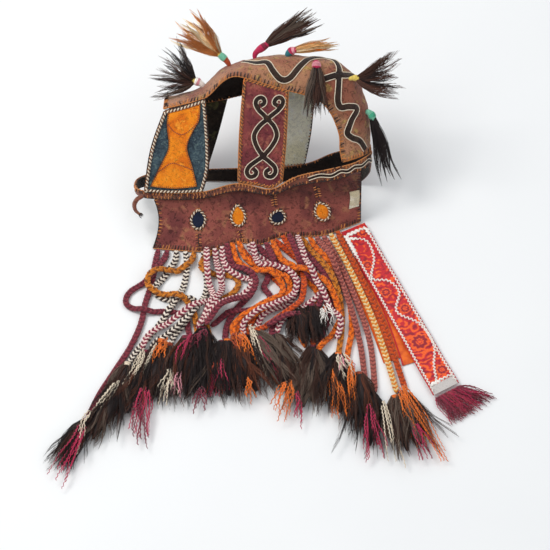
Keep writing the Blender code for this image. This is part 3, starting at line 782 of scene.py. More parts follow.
# ---------------------------------------------------------------- hair and yarn tassels
def lock(
    gather, start, ahead, side, up, length, reach, rng, tones, strand, count, girth,
    wave=0.0, bend=0.0, floor=False,
):
    """A pointed lock: fine strands from one root that swell to its girth and meet near its tip."""
    base = varied(rng.choice(tones), rng, 0.25)
    phase = rng.uniform(0.0, 6.28)
    steps = 7
    for _ in range(count):
        angle = rng.uniform(0.0, 6.28)
        off = math.sqrt(rng.random())
        own = (math.cos(angle) * off, math.sin(angle) * off)
        long = length * rng.uniform(0.74, 1.0)
        tone = varied(base, rng, 0.3)
        path, radii, shades = [], [], []
        for i in range(steps):
            s = i / (steps - 1)
            width = girth * math.sin(math.pi * min(1.0, 0.16 + 0.80 * s)) * (1.0 - 0.45 * s)
            sway = bend * s * s * length + wave * math.sin(phase + 9.0 * s) * s
            spot = start + ahead * (long * s)
            spot += side * (reach[0] * math.sin(0.5 * math.pi * min(1.0, 1.4 * s)) + own[0] * width + sway)
            spot += up * (reach[1] * math.sin(0.5 * math.pi * min(1.0, 1.4 * s)) + own[1] * width)
            if floor:
                spot = above_floor(spot, strand)
            path.append(spot)
            radii.append(strand * (1.0 - 0.72 * s))
            shades.append(mixed(tone, varied(tone, rng, 0.15), s))
        gather.tube(path, radii, shades, sides=3)


def yarn_end(gather, start, ahead, side, length, reach, rng, tone, radius):
    """One crimped yarn end, as it comes out of an undone plait."""
    phase = rng.uniform(0.0, 6.28)
    steps = max(10, round(length / 0.0032))
    path, shades = [], []
    tone = varied(tone, rng, 0.15)
    drift = rng.uniform(-0.006, 0.006)
    for i in range(steps):
        s = i / (steps - 1)
        crimp = math.sin(phase + 34.0 * s * length / 0.05) * 0.0013
        spot = start + ahead * (length * s) + side * (reach[0] * s ** 0.8 + crimp + drift * math.sin(5.0 * s))
        spot += UP * (reach[1] * math.sin(math.pi * min(1.0, 0.15 + 0.75 * s)) + 0.6 * crimp)
        path.append(above_floor(spot, radius))
        shades.append(varied(tone, rng, 0.18))
    radii = [radius * (1.0 - 0.35 * i / (steps - 1)) for i in range(steps)]
    gather.tube(path, radii, shades, sides=5)


# Floor tassels: neck, tip, widest radius; hair tones; tone of the binding
DARK_HAIR = (HAIR_BLACK, HAIR_BLACK, HAIR_BROWN)
MIXED_HAIR = (HAIR_BLACK, HAIR_BROWN, HAIR_BROWN, HAIR_GREY)
GREY_HAIR = (HAIR_GREY, HAIR_GREY, HAIR_BROWN, HAIR_GREY)
RED_HAIR = (HAIR_BROWN, rgb(108, 58, 38), HAIR_BLACK)
TASSELS = (
    ((-0.370, -0.372), (-0.424, -0.500), 0.019, DARK_HAIR, WINE),
    ((-0.292, -0.235), (-0.326, -0.364), 0.018, MIXED_HAIR, CREAM),
    ((-0.254, -0.206), (-0.274, -0.345), 0.018, DARK_HAIR, WINE),
    ((-0.210, -0.188), (-0.232, -0.336), 0.019, MIXED_HAIR, RUST),
    ((-0.158, -0.186), (-0.178, -0.336), 0.023, DARK_HAIR, WINE),
    ((-0.106, -0.183), (-0.118, -0.330), 0.025, MIXED_HAIR, WINE),
    ((-0.046, -0.167), (-0.058, -0.312), 0.024, DARK_HAIR, RUST),
    ((-0.001, -0.163), (0.034, -0.284), 0.021, GREY_HAIR, WINE),
    ((0.076, -0.195), (0.074, -0.353), 0.025, MIXED_HAIR, WINE),
    ((0.130, -0.250), (0.126, -0.373), 0.020, DARK_HAIR, ORANGE),
    ((0.187, -0.305), (0.182, -0.460), 0.024, DARK_HAIR, WINE),
    ((0.250, -0.306), (0.294, -0.454), 0.025, MIXED_HAIR, MAGENTA),
)
# Tassels that only the looks have, on the loose braids and between the model's own
LOOSE_TASSELS = (
    ((-0.178, -0.172), (-0.198, -0.343), 0.020, RED_HAIR, WINE),
    ((-0.142, -0.150), (-0.138, -0.348), 0.025, DARK_HAIR, WINE),
    ((-0.076, -0.176), (-0.026, -0.330), 0.022, RED_HAIR, ORANGE),
    ((-0.040, -0.150), (0.050, -0.312), 0.022, GREY_HAIR, CREAM),
    ((0.076, -0.214), (0.048, -0.368), 0.022, GREY_HAIR, RUST),
    ((0.044, -0.096), (0.060, -0.202), 0.018, DARK_HAIR, WINE),
    ((0.074, -0.092), (0.086, -0.190), 0.016, DARK_HAIR, WINE),
    ((-0.262, -0.236), (-0.294, -0.381), 0.018, RED_HAIR, RUST),
    ((0.124, -0.214), (0.112, -0.363), 0.022, DARK_HAIR, ORANGE),
    ((0.165, -0.262), (0.172, -0.409), 0.021, RED_HAIR, RUST),
    ((-0.306, -0.268), (-0.340, -0.419), 0.017, DARK_HAIR, WINE),
    ((0.236, -0.318), (0.262, -0.474), 0.019, MIXED_HAIR, ORANGE),
    ((-0.226, -0.180), (-0.250, -0.350), 0.018, DARK_HAIR, ORANGE),
    ((-0.094, -0.180), (-0.088, -0.342), 0.022, DARK_HAIR, ORANGE),
    ((0.014, -0.190), (0.026, -0.318), 0.020, MIXED_HAIR, WINE),
    ((-0.330, -0.330), (-0.360, -0.436), 0.015, MIXED_HAIR, WINE),
)
TASSEL_SQUASH = 0.55
TASSEL_OVERLAP = 0.012
TASSEL_LOCKS = 46
TASSEL_STRAND = 0.00062
BINDING_TURNS = 5

# Undone yarn over the hair: from, to, tone, ends, half width at its foot
YARN_BUNDLES = (
    ((-0.106, -0.231), (-0.108, -0.322), MAGENTA, 22, 0.013),
    ((-0.112, -0.236), (-0.118, -0.312), RUST, 12, 0.012),
    ((-0.206, -0.262), (-0.218, -0.327), CREAM, 11, 0.013),
    ((-0.190, -0.268), (-0.200, -0.322), PINK, 9, 0.010),
    ((-0.254, -0.300), (-0.266, -0.419), MAGENTA, 13, 0.012),
    ((-0.218, -0.184), (-0.240, -0.240), ORANGE, 12, 0.008),
    ((-0.168, -0.172), (-0.198, -0.266), MAGENTA, 9, 0.006),
    ((-0.236, -0.196), (-0.288, -0.360), CREAM, 5, 0.004),
    ((-0.262, -0.212), (-0.290, -0.300), CREAM, 7, 0.006),
    ((-0.070, -0.166), (-0.046, -0.246), ORANGE, 16, 0.009),
    ((-0.076, -0.170), (-0.060, -0.222), RUST, 9, 0.008),
    ((-0.048, -0.150), (-0.018, -0.262), CREAM, 7, 0.005),
    ((-0.030, -0.180), (0.020, -0.290), MAGENTA, 5, 0.006),
    ((0.098, -0.099), (0.106, -0.138), WHITE, 11, 0.010),
    ((0.128, -0.222), (0.138, -0.294), CREAM, 14, 0.014),
    ((0.134, -0.222), (0.146, -0.270), PINK, 6, 0.012),
    ((0.026, -0.284), (0.004, -0.372), ORANGE, 14, 0.012),
    ((0.046, -0.310), (0.060, -0.388), MAGENTA, 6, 0.008),
    ((0.112, -0.262), (0.130, -0.378), ORANGE, 16, 0.012),
    ((0.150, -0.240), (0.150, -0.352), ORANGE, 12, 0.007),
    ((0.186, -0.348), (0.196, -0.462), MAGENTA, 15, 0.013),
    ((0.212, -0.334), (0.238, -0.482), CREAM, 7, 0.008),
    ((0.252, -0.300), (0.330, -0.477), ORANGE, 12, 0.010),
    ((0.246, -0.312), (0.276, -0.440), ORANGE, 8, 0.006),
    ((0.270, -0.380), (0.300, -0.462), MAGENTA, 8, 0.010),
    ((-0.376, -0.392), (-0.424, -0.516), MAGENTA, 9, 0.012),
    ((-0.362, -0.362), (-0.392, -0.450), CREAM, 4, 0.006),
    ((-0.310, -0.285), (-0.356, -0.376), CREAM, 6, 0.006),
    ((-0.272, -0.330), (-0.262, -0.430), WINE, 8, 0.009),
    ((-0.144, -0.160), (-0.160, -0.200), WINE, 12, 0.010),
    ((-0.146, -0.300), (-0.152, -0.352), WINE, 7, 0.010),
    ((-0.050, -0.280), (-0.044, -0.330), ORANGE, 5, 0.008),
)
BUNDLE_HEIGHT = 0.026


def tassel_frame(neck, tip):
    start = Vector((neck[0], neck[1], 0.0)) + SHIFT
    reach = Vector((tip[0], tip[1], 0.0)) + SHIFT - start
    ahead = reach.normalized()
    return start, ahead, ahead.cross(UP).normalized(), reach.length


def make_tassel(number, neck, tip, widest, hairs, wrap, paints, bindings):
    """A tassel: a dark heart, locks of hair all round it, and a binding at its neck."""
    rng = random.Random(100 + number)
    start, ahead, side, length = tassel_frame(neck, tip)
    loose = number > len(TASSELS)
    root = start - ahead * TASSEL_OVERLAP + UP * (0.009 if loose else 0.0060)
    length += TASSEL_OVERLAP
    gather = Gather()
    heart, radii = [], []
    for k in range(15):
        s = k / 14.0
        swell = math.sin(math.pi * min(1.0, 0.14 + 0.80 * s)) ** 0.8
        radii.append(0.60 * widest * swell * rng.uniform(0.94, 1.06))
        arch = 0.28 * widest * math.sin(math.pi * min(1.0, 0.9 * s))
        heart.append(root + ahead * (0.80 * length * s) + UP * arch)
    gather.tube(heart, radii, HAIR_BLACK, sides=14, squash=0.60)
    for _ in range(TASSEL_LOCKS):
        angle = rng.uniform(0.0, 6.28)
        off = math.sqrt(rng.uniform(0.15, 1.0)) * widest
        spread = (math.cos(angle) * off, math.sin(angle) * off * TASSEL_SQUASH + widest * 0.34)
        heading = (ahead + side * rng.gauss(0.0, 0.09)).normalized()
        lock(
            gather, root + side * (spread[0] * 0.30), heading, side, UP,
            length * rng.uniform(0.55, 1.02), spread, rng, hairs, TASSEL_STRAND, 12, 0.0042,
            wave=0.0045, bend=rng.uniform(-0.16, 0.16), floor=True,
        )
    gather.points = [above_floor(p) for p in gather.points]
    node = None if loose else f"tassel_{number:02d}"
    gather.finish(f"hair_{number:02d}", paints["hair"], "neck_curtain", "hair_dark", node)
    for i in range(BINDING_TURNS):
        ring = []
        centre = root + ahead * (0.002 + i * 0.0017)
        for k in range(9):
            turn = 2.0 * math.pi * k / 8.0
            drift = ahead * (0.0008 * k / 8.0)
            spot = centre + drift + side * math.cos(turn) * 0.0072 + UP * math.sin(turn) * 0.0052
            ring.append(above_floor(spot))
        bindings.tube(ring, 0.0011, varied(wrap, rng, 0.2), sides=5)


def make_bundle(gather, start, end, tone, count, half_width, rng):
    root, ahead, side, length = tassel_frame(start, end)
    root += UP * BUNDLE_HEIGHT * 0.75
    for _ in range(count):
        spread = (rng.uniform(-1.0, 1.0) * half_width, rng.uniform(0.002, 0.012))
        offset = side * (spread[0] * 0.7) + ahead * rng.uniform(-0.012, 0.012) - UP * rng.uniform(0.0, 0.005)
        heading = (ahead - UP * 0.05).normalized()
        long = length * rng.uniform(0.55, 1.0)
        yarn_end(gather, root + offset, heading, side, long, spread, rng, tone, rng.uniform(0.0010, 0.0015))


def make_tassels(paints):
    bindings, bundles = Gather(), Gather()
    for i, spec in enumerate(TASSELS + LOOSE_TASSELS):
        make_tassel(i + 1, *spec, paints, bindings)
    rng = random.Random(77)
    for bundle in YARN_BUNDLES:
        make_bundle(bundles, *bundle, rng)
    bindings.finish("tassel_bindings", paints["yarn"], "neck_curtain", "yarn_burgundy")
    bundles.finish("undone_yarn", paints["yarn"], "neck_curtain", "yarn_burgundy")


# ---------------------------------------------------------------- the hood
# Ring: x, g, bottom h, top h of its outer face, once round from the near left corner
RING = (
    (-0.262, 0.006, 0.000, 0.012),
    (-0.200, 0.000, -0.002, 0.009),
    (-0.142, 0.000, 0.001, 0.012),
    (-0.074, 0.000, 0.016, 0.029),
    (-0.008, 0.000, 0.008, 0.017),
    (0.046, 0.000, 0.027, 0.044),
    (0.116, 0.000, 0.038, 0.060),
    (0.160, 0.008, 0.050, 0.070),
    (0.190, 0.040, 0.056, 0.080),
    (0.192, 0.084, 0.030, 0.080),
    (0.166, 0.122, 0.000, 0.074),
    (0.116, 0.130, 0.000, 0.060),
    (0.050, 0.130, 0.000, 0.036),
    (-0.080, 0.130, 0.000, 0.029),
    (-0.170, 0.130, 0.000, 0.026),
    (-0.236, 0.120, 0.000, 0.024),
    (-0.276, 0.084, 0.000, 0.020),
    (-0.282, 0.040, 0.000, 0.014),
)
RING_FINE = 10
# Dark strips on the ring's right end, as (station round, share of its height)
RING_BANDS = (
    ((5.30, 0.46), (5.60, 0.62), (5.95, 0.40), (6.30, 0.62), (6.65, 0.42), (7.00, 0.64), (7.40, 0.40),
     (7.80, 0.60), (8.20, 0.44), (8.60, 0.56)),
)

# Crest: near edge, crown and far edge as (x, h), from the left end down to the right end
CREST = (
    ((-0.222, 0.182), (-0.221, 0.188), (-0.216, 0.165)),
    ((-0.180, 0.192), (-0.186, 0.198), (-0.175, 0.170)),
    ((-0.138, 0.205), (-0.144, 0.215), (-0.130, 0.172)),
    ((-0.106, 0.236), (-0.110, 0.248), (-0.100, 0.178)),
    ((-0.082, 0.248), (-0.080, 0.262), (-0.080, 0.183)),
    ((-0.052, 0.243), (-0.050, 0.270), (-0.050, 0.190)),
    ((-0.018, 0.232), (-0.014, 0.277), (-0.015, 0.200)),
    ((0.022, 0.220), (0.026, 0.280), (0.025, 0.205)),
    ((0.060, 0.210), (0.072, 0.276), (0.065, 0.200)),
    ((0.092, 0.196), (0.118, 0.268), (0.100, 0.190)),
    ((0.112, 0.172), (0.152, 0.246), (0.122, 0.170)),
    ((0.123, 0.148), (0.174, 0.212), (0.134, 0.148)),
    ((0.130, 0.124), (0.187, 0.168), (0.142, 0.124)),
    ((0.131, 0.098), (0.192, 0.120), (0.146, 0.104)),
    ((0.136, 0.072), (0.193, 0.086), (0.152, 0.084)),
)
CREST_NEAR_G = 0.012
CREST_CROWN_G = 0.065
CREST_FAR_G = 0.118
CREST_END = len(CREST) - 1

# Panels as (x, h) outlines, anticlockwise from the near side, and where their four sides start
NEAR_FRONT_PANEL = (
    (-0.262, 0.0126), (-0.200, 0.0096), (-0.146, 0.0126),
    (-0.134, 0.060), (-0.134, 0.120), (-0.140, 0.2010),
    (-0.182, 0.1870), (-0.221, 0.1770), (-0.248, 0.100),
)
NEAR_MID_PANEL = (
    (-0.074, 0.0320), (-0.040, 0.0270), (-0.008, 0.0210), (0.014, 0.0340),
    (0.022, 0.120), (0.026, 0.2170), (-0.018, 0.2300), (-0.052, 0.2405),
    (-0.062, 0.2420), (-0.070, 0.140),
)
FAR_FRONT_PANEL = (
    (-0.226, 0.027), (-0.138, 0.0285), (-0.116, 0.100), (-0.096, 0.1775),
    (-0.130, 0.1714), (-0.175, 0.1694), (-0.214, 0.1644),
)
FAR_MID_PANEL = (
    (-0.026, 0.034), (0.060, 0.042), (0.072, 0.110), (0.080, 0.1925),
    (0.065, 0.1970), (0.025, 0.2020), (-0.012, 0.1970), (-0.022, 0.110),
)
HOURGLASS = (
    (-0.250, 0.024), (-0.200, 0.020), (-0.156, 0.024), (-0.166, 0.066), (-0.176, 0.104),
    (-0.164, 0.136), (-0.152, 0.158), (-0.149, 0.192), (-0.184, 0.182), (-0.214, 0.174),
    (-0.216, 0.146), (-0.213, 0.104), (-0.228, 0.070),
)
PANEL_BACK_CLEARANCE = 0.0035
APPLIQUE_LIFT = 0.0016

# Stitched curves on the hourglass, and the scroll as (off its leaning middle line, h)
HOURGLASS_CURVES = (
    ((-0.2130, 0.1500), (-0.2030, 0.1370), (-0.1860, 0.1300), (-0.1700, 0.1390), (-0.1560, 0.1530)),
    ((-0.2460, 0.0470), (-0.2270, 0.0590), (-0.2080, 0.0720), (-0.1900, 0.0680), (-0.1640, 0.0580)),
)
SCROLL_MIDDLE = (-0.0276, 0.055, 0.118)
SCROLL_LINE = (
    (-0.0165, 0.1885), (-0.0105, 0.1925), (-0.0112, 0.2000), (-0.0180, 0.2045), (-0.0255, 0.2005),
    (-0.0268, 0.1915), (-0.0195, 0.1795), (-0.0080, 0.1690), (0.0000, 0.1610), (0.0150, 0.1460),
    (0.0225, 0.1270), (0.0150, 0.1060), (0.0000, 0.0860), (-0.0140, 0.0745), (-0.0255, 0.0640),
    (-0.0285, 0.0530), (-0.0220, 0.0440), (-0.0125, 0.0455), (-0.0098, 0.0535), (-0.0160, 0.0595),
)
SCROLL_HALF_WIDTH = 0.0050

# Dark bands on the crest, as (station along, place across from -1 near to 1 far)
CREST_BANDS = (
    ((4.55, -0.06), (5.00, -0.22), (5.45, -0.34), (5.95, -0.36), (6.30, -0.62), (6.70, -0.80),
     (7.15, -0.74), (7.60, -0.42), (8.00, -0.14), (8.50, 0.02), (9.00, -0.04), (9.30, -0.22),
     (9.45, -0.42), (9.70, -0.64), (10.00, -0.78), (10.45, -0.80), (10.90, -0.66), (11.40, -0.52),
     (11.62, -0.70), (12.10, -0.84), (12.60, -0.74), (13.00, -0.56), (13.60, -0.42)),
    ((8.35, -0.66), (8.75, -0.62), (9.10, -0.52), (9.42, -0.41), (9.75, -0.32), (10.20, -0.14),
     (10.60, 0.06), (11.00, 0.24)),
    ((5.20, 0.62), (5.90, 0.34), (6.50, 0.28), (7.10, 0.58), (7.80, 0.72), (8.60, 0.40),
     (9.40, 0.62), (10.10, 0.80), (10.80, 0.62), (11.40, 0.34), (12.20, 0.48), (12.90, 0.30)),
)
CREST_BAND_HALF_WIDTH = 0.0064
RING_BAND_HALF_WIDTH = 0.0032
BAND_SPACING = 0.0028


def ring_point(t, up):
    x, g, low, high = smooth_value(RING, t, closed=True)
    return above_floor(hood_point(x, low + (high - low) * up, g), 0.0)


def crest_point(u, w):
    """The crest's outer face: u counts stations from the left end, w is -1 near to 1 far."""
    near, crown, far = (smooth_value([s[k] for s in CREST], u) for k in range(3))
    edge = near if w < 0.0 else far
    edge_g = CREST_NEAR_G if w < 0.0 else CREST_FAR_G
    xh = crown + (edge - crown) * (1.0 - math.cos(w * math.pi / 2.0))
    g = CREST_CROWN_G + (edge_g - CREST_CROWN_G) * abs(math.sin(w * math.pi / 2.0))
    return hood_point(xh.x, xh.y, g)


def crest_normal(u, w):
    step = 0.05
    along = crest_point(min(u + step, CREST_END), w) - crest_point(max(u - step, 0.0), w)
    across = crest_point(u, min(1.0, w + step)) - crest_point(u, max(-1.0, w - step))
    return along.cross(across).normalized()


def near_panel_g(h):
    return CREST_NEAR_G * h / 0.22


def far_panel_g(h):
    return RING_DEPTH - PANEL_BACK_CLEARANCE + (CREST_FAR_G - RING_DEPTH) * h / 0.20


def side_line(outline, first, last, count):
    """One side of an outline, as count points on a smooth line through its corners."""
    total = len(outline)
    span = (last - first) % total
    points = [Vector((*outline[(first + k) % total], 0.0)) for k in range(span + 1)]
    if len(points) == 2:
        return [points[0].lerp(points[1], k / (count - 1)) for k in range(count)]
    return respaced([smooth_value(points, span * k / 40.0) for k in range(41)], count)


def patch_grid(outline, corners, rows, columns):
    """A grid over a four sided outline: rows run up it and columns run along it."""
    a, b, c, d = corners
    bottom = side_line(outline, a, b, columns)
    right = side_line(outline, b, c, rows)
    top = side_line(outline, c, d, columns)[::-1]
    left = side_line(outline, d, a, rows)[::-1]
    grid = []
    for r in range(rows):
        v = r / (rows - 1)
        line = []
        for k in range(columns):
            u = k / (columns - 1)
            ruled = bottom[k].lerp(top[k], v) + left[r].lerp(right[r], u)
            low = bottom[0].lerp(bottom[-1], u)
            high = top[0].lerp(top[-1], u)
            line.append(ruled - low.lerp(high, v))
        grid.append(line)
    return grid


def make_panel(name, node, outline, corners, depth_at, paint, bulge=0.0):
    rows, columns = 56, 36
    near_side = depth_at is near_panel_g
    grid = []
    for r, line in enumerate(patch_grid(outline, corners, rows, columns)):
        v = math.sin(math.pi * r / (rows - 1))
        row = []
        for k, p in enumerate(line):
            u = math.sin(math.pi * k / (columns - 1))
            row.append(hood_point(p.x, p.y, depth_at(p.y) - bulge * u * v))
        grid.append(row if not near_side else row[::-1])
    obj = cloth(name, grid, FELT, paint, "hood", lump=0.0007)
    assign(obj, node)
    return obj, grid


def rim_of(grid, inset=0.0):
    """The grid's edge as one closed line with the ways into the cloth and out of its face."""
    rows, columns = len(grid), len(grid[0])
    loop = [(0, c) for c in range(columns)] + [(r, columns - 1) for r in range(1, rows)]
    loop += [(rows - 1, c) for c in range(columns - 2, -1, -1)] + [(r, 0) for r in range(rows - 2, -1, -1)]
    edge, inward, facing = [], [], []
    for r, c in loop:
        here = grid[r][c]
        inner = grid[min(max(r, 2), rows - 3)][min(max(c, 2), columns - 3)]
        down = grid[min(r + 1, rows - 1)][c] - grid[max(r - 1, 0)][c]
        along = grid[r][min(c + 1, columns - 1)] - grid[r][max(c - 1, 0)]
        normal = down.cross(along).normalized()
        into = (inner - here).normalized()
        edge.append(here + into * inset)
        inward.append(into)
        facing.append(normal)
    return edge, inward, facing


def make_ring(paints, stitches, rng):
    grid = []
    for i in range(len(RING) * RING_FINE):
        t = i / RING_FINE
        grid.append([ring_point(t, k / 5.0) for k in range(6)])
    obj = cloth("ring_felt", grid, FELT, (paints["brown"], paints["inside"]), "hood", closed=True)
    assign(obj, "ring_band")
    top = [row[-1] for row in grid] + [grid[0][-1]]
    low = [row[0] for row in grid] + [grid[0][0]]
    down = [b - a for a, b in zip(top, low)]
    facing = []
    for i in range(len(top)):
        along = top[(i + 1) % len(grid)] - top[i - 1 if i else -2]
        facing.append(down[i].cross(along).normalized())
    blanket(stitches, top, down, facing, 0.0062, 0.0052, FELT, (STITCH_TAN, STITCH_DARK, STITCH_TAN), rng)
    near = 8 * RING_FINE
    up = [-d for d in down[:near]]
    blanket(stitches, low[:near], up, facing[:near], 0.0070, 0.0045, FELT, (STITCH_DARK, STITCH_TAN), rng)
    return obj


def ring_normal(t, up):
    along = ring_point(t + 0.05, up) - ring_point(t - 0.05, up)
    return (ring_point(t, 0.0) - ring_point(t, 1.0)).cross(along).normalized()


def make_crest(paints, stitches, rng):
    fine, half = 9, 17
    grid = []
    for i in range(CREST_END * fine + 1):
        grid.append([crest_point(i / fine, k / half) for k in range(-half, half + 1)])
    obj = cloth("crest_felt", grid, FELT, (paints["crest"], paints["inside"]), "hood", lump=0.0020)
    assign(obj, "crest_band")
    tree = tree_of(obj)
    for w in (-1.0, 1.0):
        edge, inward, facing = [], [], []
        for i in range(CREST_END * 6 + 1):
            u = i / 6.0
            edge.append(crest_point(u, w))
            inward.append(crest_point(u, w * 0.9) - crest_point(u, w))
            facing.append(crest_normal(u, w * 0.97))
        blanket(stitches, edge, inward, facing, 0.0068, 0.0090, FELT, CREST_TONES, rng, 0.0012, tree)
    for u in (0.0, float(CREST_END)):
        inner = 0.15 if u == 0.0 else CREST_END - 0.15
        edge, inward, facing = [], [], []
        for k in range(-12, 13):
            w = k / 12.0
            edge.append(crest_point(u, w))
            inward.append(crest_point(inner, w) - crest_point(u, w))
            facing.append(crest_normal(min(max(u, 0.1), CREST_END - 0.1), w * 0.97))
        blanket(stitches, edge, inward, facing, 0.0060, 0.0070, FELT, CREST_TONES, rng, 0.0012, tree)
    return obj


def strip_lines(routes, spot_at, facing_at, step, spacing=None):
    """Lines on a surface from routes in its own fractions, with the way out at every point."""
    lines, facings = [], []
    for route in routes:
        fine = smooth_line([Vector((*p, 0.0)) for p in route], step)
        line = [spot_at(p.x, p.y) for p in fine]
        facing = [facing_at(p.x, p.y) for p in fine]
        if spacing:
            line = respaced(line, round(length_of(line) / spacing))
            facing = respaced(facing, len(line))
        lines.append(line)
        facings.append(facing)
    return lines, facings


def make_appliques(name, tree, lines, facings, half_width, node, paints, lift=0.0018):
    """Dark felt strips with a pale cord couched down along every free edge."""
    bands = Gather()
    for line, facing in zip(lines, facings):
        ribbon(bands, tree, line, facing, half_width, lift, HAIR_BROWN)
    bands.finish(f"{name}_strips", paints["dark"], "hood", "felt_dark", node)
    cords = Gather()
    for run in outlines(lines, facings, half_width):
        path = [on_surface(tree, spot, facing, lift * 0.75)[0] for spot, facing in run]
        cords.tube(path, COUCHED_CORD, CREAM, sides=6)
    cords.finish(f"{name}_cords", paints["cord"], "hood", "felt_cream")


def make_hood(paints):
    rng = random.Random(7)
    stitches = Gather()
    ring = make_ring(paints, stitches, rng)
    crest = make_crest(paints, stitches, rng)
    lines, facings = strip_lines(RING_BANDS, ring_point, ring_normal, 0.05, BAND_SPACING)
    make_appliques("ring_trim", tree_of(ring), lines, facings, RING_BAND_HALF_WIDTH, None, paints, 0.0012)
    lines, facings = strip_lines(CREST_BANDS, crest_point, crest_normal, 0.08, BAND_SPACING)
    make_appliques("crest_band_trim", tree_of(crest), lines, facings, CREST_BAND_HALF_WIDTH, None, paints)
    make_panels(paints, stitches, rng)
    stitches.finish("hood_stitches", paints["cord"], "hood", "felt_brown")


def make_panels(paints, stitches, rng):
    """The four side panels, their edge stitches, and what is sewn on the two near ones."""
    out = hood_direction(0.0, 0.0, -1.0)
    front, front_grid = make_panel(
        "orange_panel_ground", "near_front_panel", NEAR_FRONT_PANEL, (0, 2, 5, 7), near_panel_g,
        (paints["slate"], paints["inside"]), 0.003,
    )
    mid, mid_grid = make_panel(
        "scroll_panel_ground", "near_mid_panel", NEAR_MID_PANEL, (0, 3, 5, 8), near_panel_g,
        (paints["maroon"], paints["inside"]), 0.002,
    )
    make_panel(
        "far_front_lining", "far_front_panel", FAR_FRONT_PANEL, (0, 1, 3, 6), far_panel_g,
        (paints["brown"], paints["inside_green"]),
    )
    _, far_grid = make_panel(
        "far_mid_lining", "far_mid_panel", FAR_MID_PANEL, (0, 1, 3, 6), far_panel_g,
        (paints["brown"], paints["lit_lining_cream"]),
    )
    edge, inward, facing = rim_of(far_grid)
    blanket(stitches, edge, inward, facing, 0.0065, 0.005, FELT, (STITCH_DARK, STITCH_DARK, STITCH_TAN), rng)
    edges = ((front_grid, (STITCH_DARK, STITCH_TAN)), (mid_grid, (STITCH_TAN, ORANGE, STITCH_DARK)))
    for grid, tones in edges:
        edge, inward, facing = rim_of(grid)
        blanket(stitches, edge, inward, facing, 0.0060, 0.0062, FELT, tones, rng)

    front_tree, mid_tree = tree_of(front), tree_of(mid)
    make_hourglass(paints, stitches, front_tree, out)
    make_scroll(paints, mid_tree, out)
    make_borders(paints, ((front_tree, front_grid), (mid_tree, mid_grid)), out)


def make_hourglass(paints, stitches, front_tree, out):
    """The orange hourglass on the near front panel, with its edge and stitched curves."""
    grid = []
    for row in patch_grid(HOURGLASS, (0, 2, 7, 9), 48, 26):
        over = [hood_point(p.x, p.y, -0.002) for p in row[::-1]]
        grid.append([on_surface(front_tree, p, out, APPLIQUE_LIFT)[0] for p in over])
    glass = cloth("hourglass_felt", grid, 0.0014, paints["orange"], "hood", lump=0.0004)
    assign(glass, "hourglass_applique")
    glass_tree = tree_of(glass)
    edge, _, facing = rim_of(grid, 0.0022)
    running_stitch(stitches, glass_tree, edge, facing, 0.0042, 0.0006, THREAD_RED)
    edge, _, facing = rim_of(grid, -0.0004)
    thin = Gather()
    thin.tube([p + f * 0.0002 for p, f in zip(edge, facing)], 0.0007, STITCH_DARK, sides=5)
    for curve in HOURGLASS_CURVES:
        line = [hood_point(p.x, p.y, 0.0) for p in smooth_line([Vector((*q, 0.0)) for q in curve], 0.003)]
        running_stitch(stitches, glass_tree, line, [out] * len(line), 0.0038, 0.0008, THREAD_RED)
    thin.finish("hourglass_edge", paints["cord"], "hood", "felt_dark")


def make_scroll(paints, mid_tree, out):
    """The scroll on the near middle panel: one line and its mirror image."""
    x0, h0, lean = SCROLL_MIDDLE
    routes = []
    for way in (1.0, -1.0):
        routes.append([(x0 + (h - h0) * lean + way * d, h) for d, h in SCROLL_LINE])
    lines, facings = strip_lines(routes, lambda x, h: hood_point(x, h, 0.0), lambda x, h: out, 0.0022)
    make_appliques("scroll", mid_tree, lines, facings, SCROLL_HALF_WIDTH, "scroll_applique", paints)


# Twisted cord round each near panel: inset, lift, radius, repeat, colours
BORDERS = (
    (0.0036, 0.0016, 0.0018, 0.0072, (CREAM, CORD_BROWN)),
    (0.0028, 0.0010, 0.0015, 0.0074, (CORD_BROWN, STITCH_TAN)),
)


def make_borders(paints, panels, out):
    border = Gather()
    for (tree, grid), (inset, lift, radius, repeat, tones) in zip(panels, BORDERS):
        edge, _, facing = rim_of(grid, inset)
        edge = [on_surface(tree, p, out, lift)[0] for p in edge]
        two_ply(border, edge, facing, radius, repeat, tones)
    border.finish("panel_borders", paints["cord"], "hood", "felt_cream")


# The strap tip's middle line, in the hood's own frame
STRAP_TURNS = (
    (-0.2640, 0.006),
    (-0.2670, 0.004),
    (-0.2760, -0.001),
    (-0.2820, -0.012),
    (-0.2800, -0.024),
    (-0.2720, -0.032),
)


def make_strap(paints):
    rng = random.Random(3)
    path = smooth_line([hood_point(x, h, -0.004) for x, h in STRAP_TURNS], 0.0018)
    ends = len(path) - 1
    radii = [0.0030 + 0.0026 * math.sin(math.pi * (0.15 + 0.75 * i / ends)) for i in range(len(path))]
    tip = Gather()
    tip.tube(path, radii, HAIR_BROWN, sides=12, squash=0.62)
    tip.finish("strap_tip_felt", paints["brown"], "strap_tip", "felt_brown", "strap_tip")
    fray = Gather()
    ahead = (path[-1] - path[-4]).normalized()
    side = ahead.cross(UP).normalized()
    for _ in range(9):
        spread = (rng.uniform(-0.004, 0.004), rng.uniform(-0.003, 0.003))
        lock(fray, path[-2], ahead, side, UP, 0.011, spread, rng, (HAIR_BROWN, HAIR_BLACK), 0.0004, 6, 0.002)
    fray.finish("strap_tip_fray", paints["hair"], "strap_tip", "hair_dark")


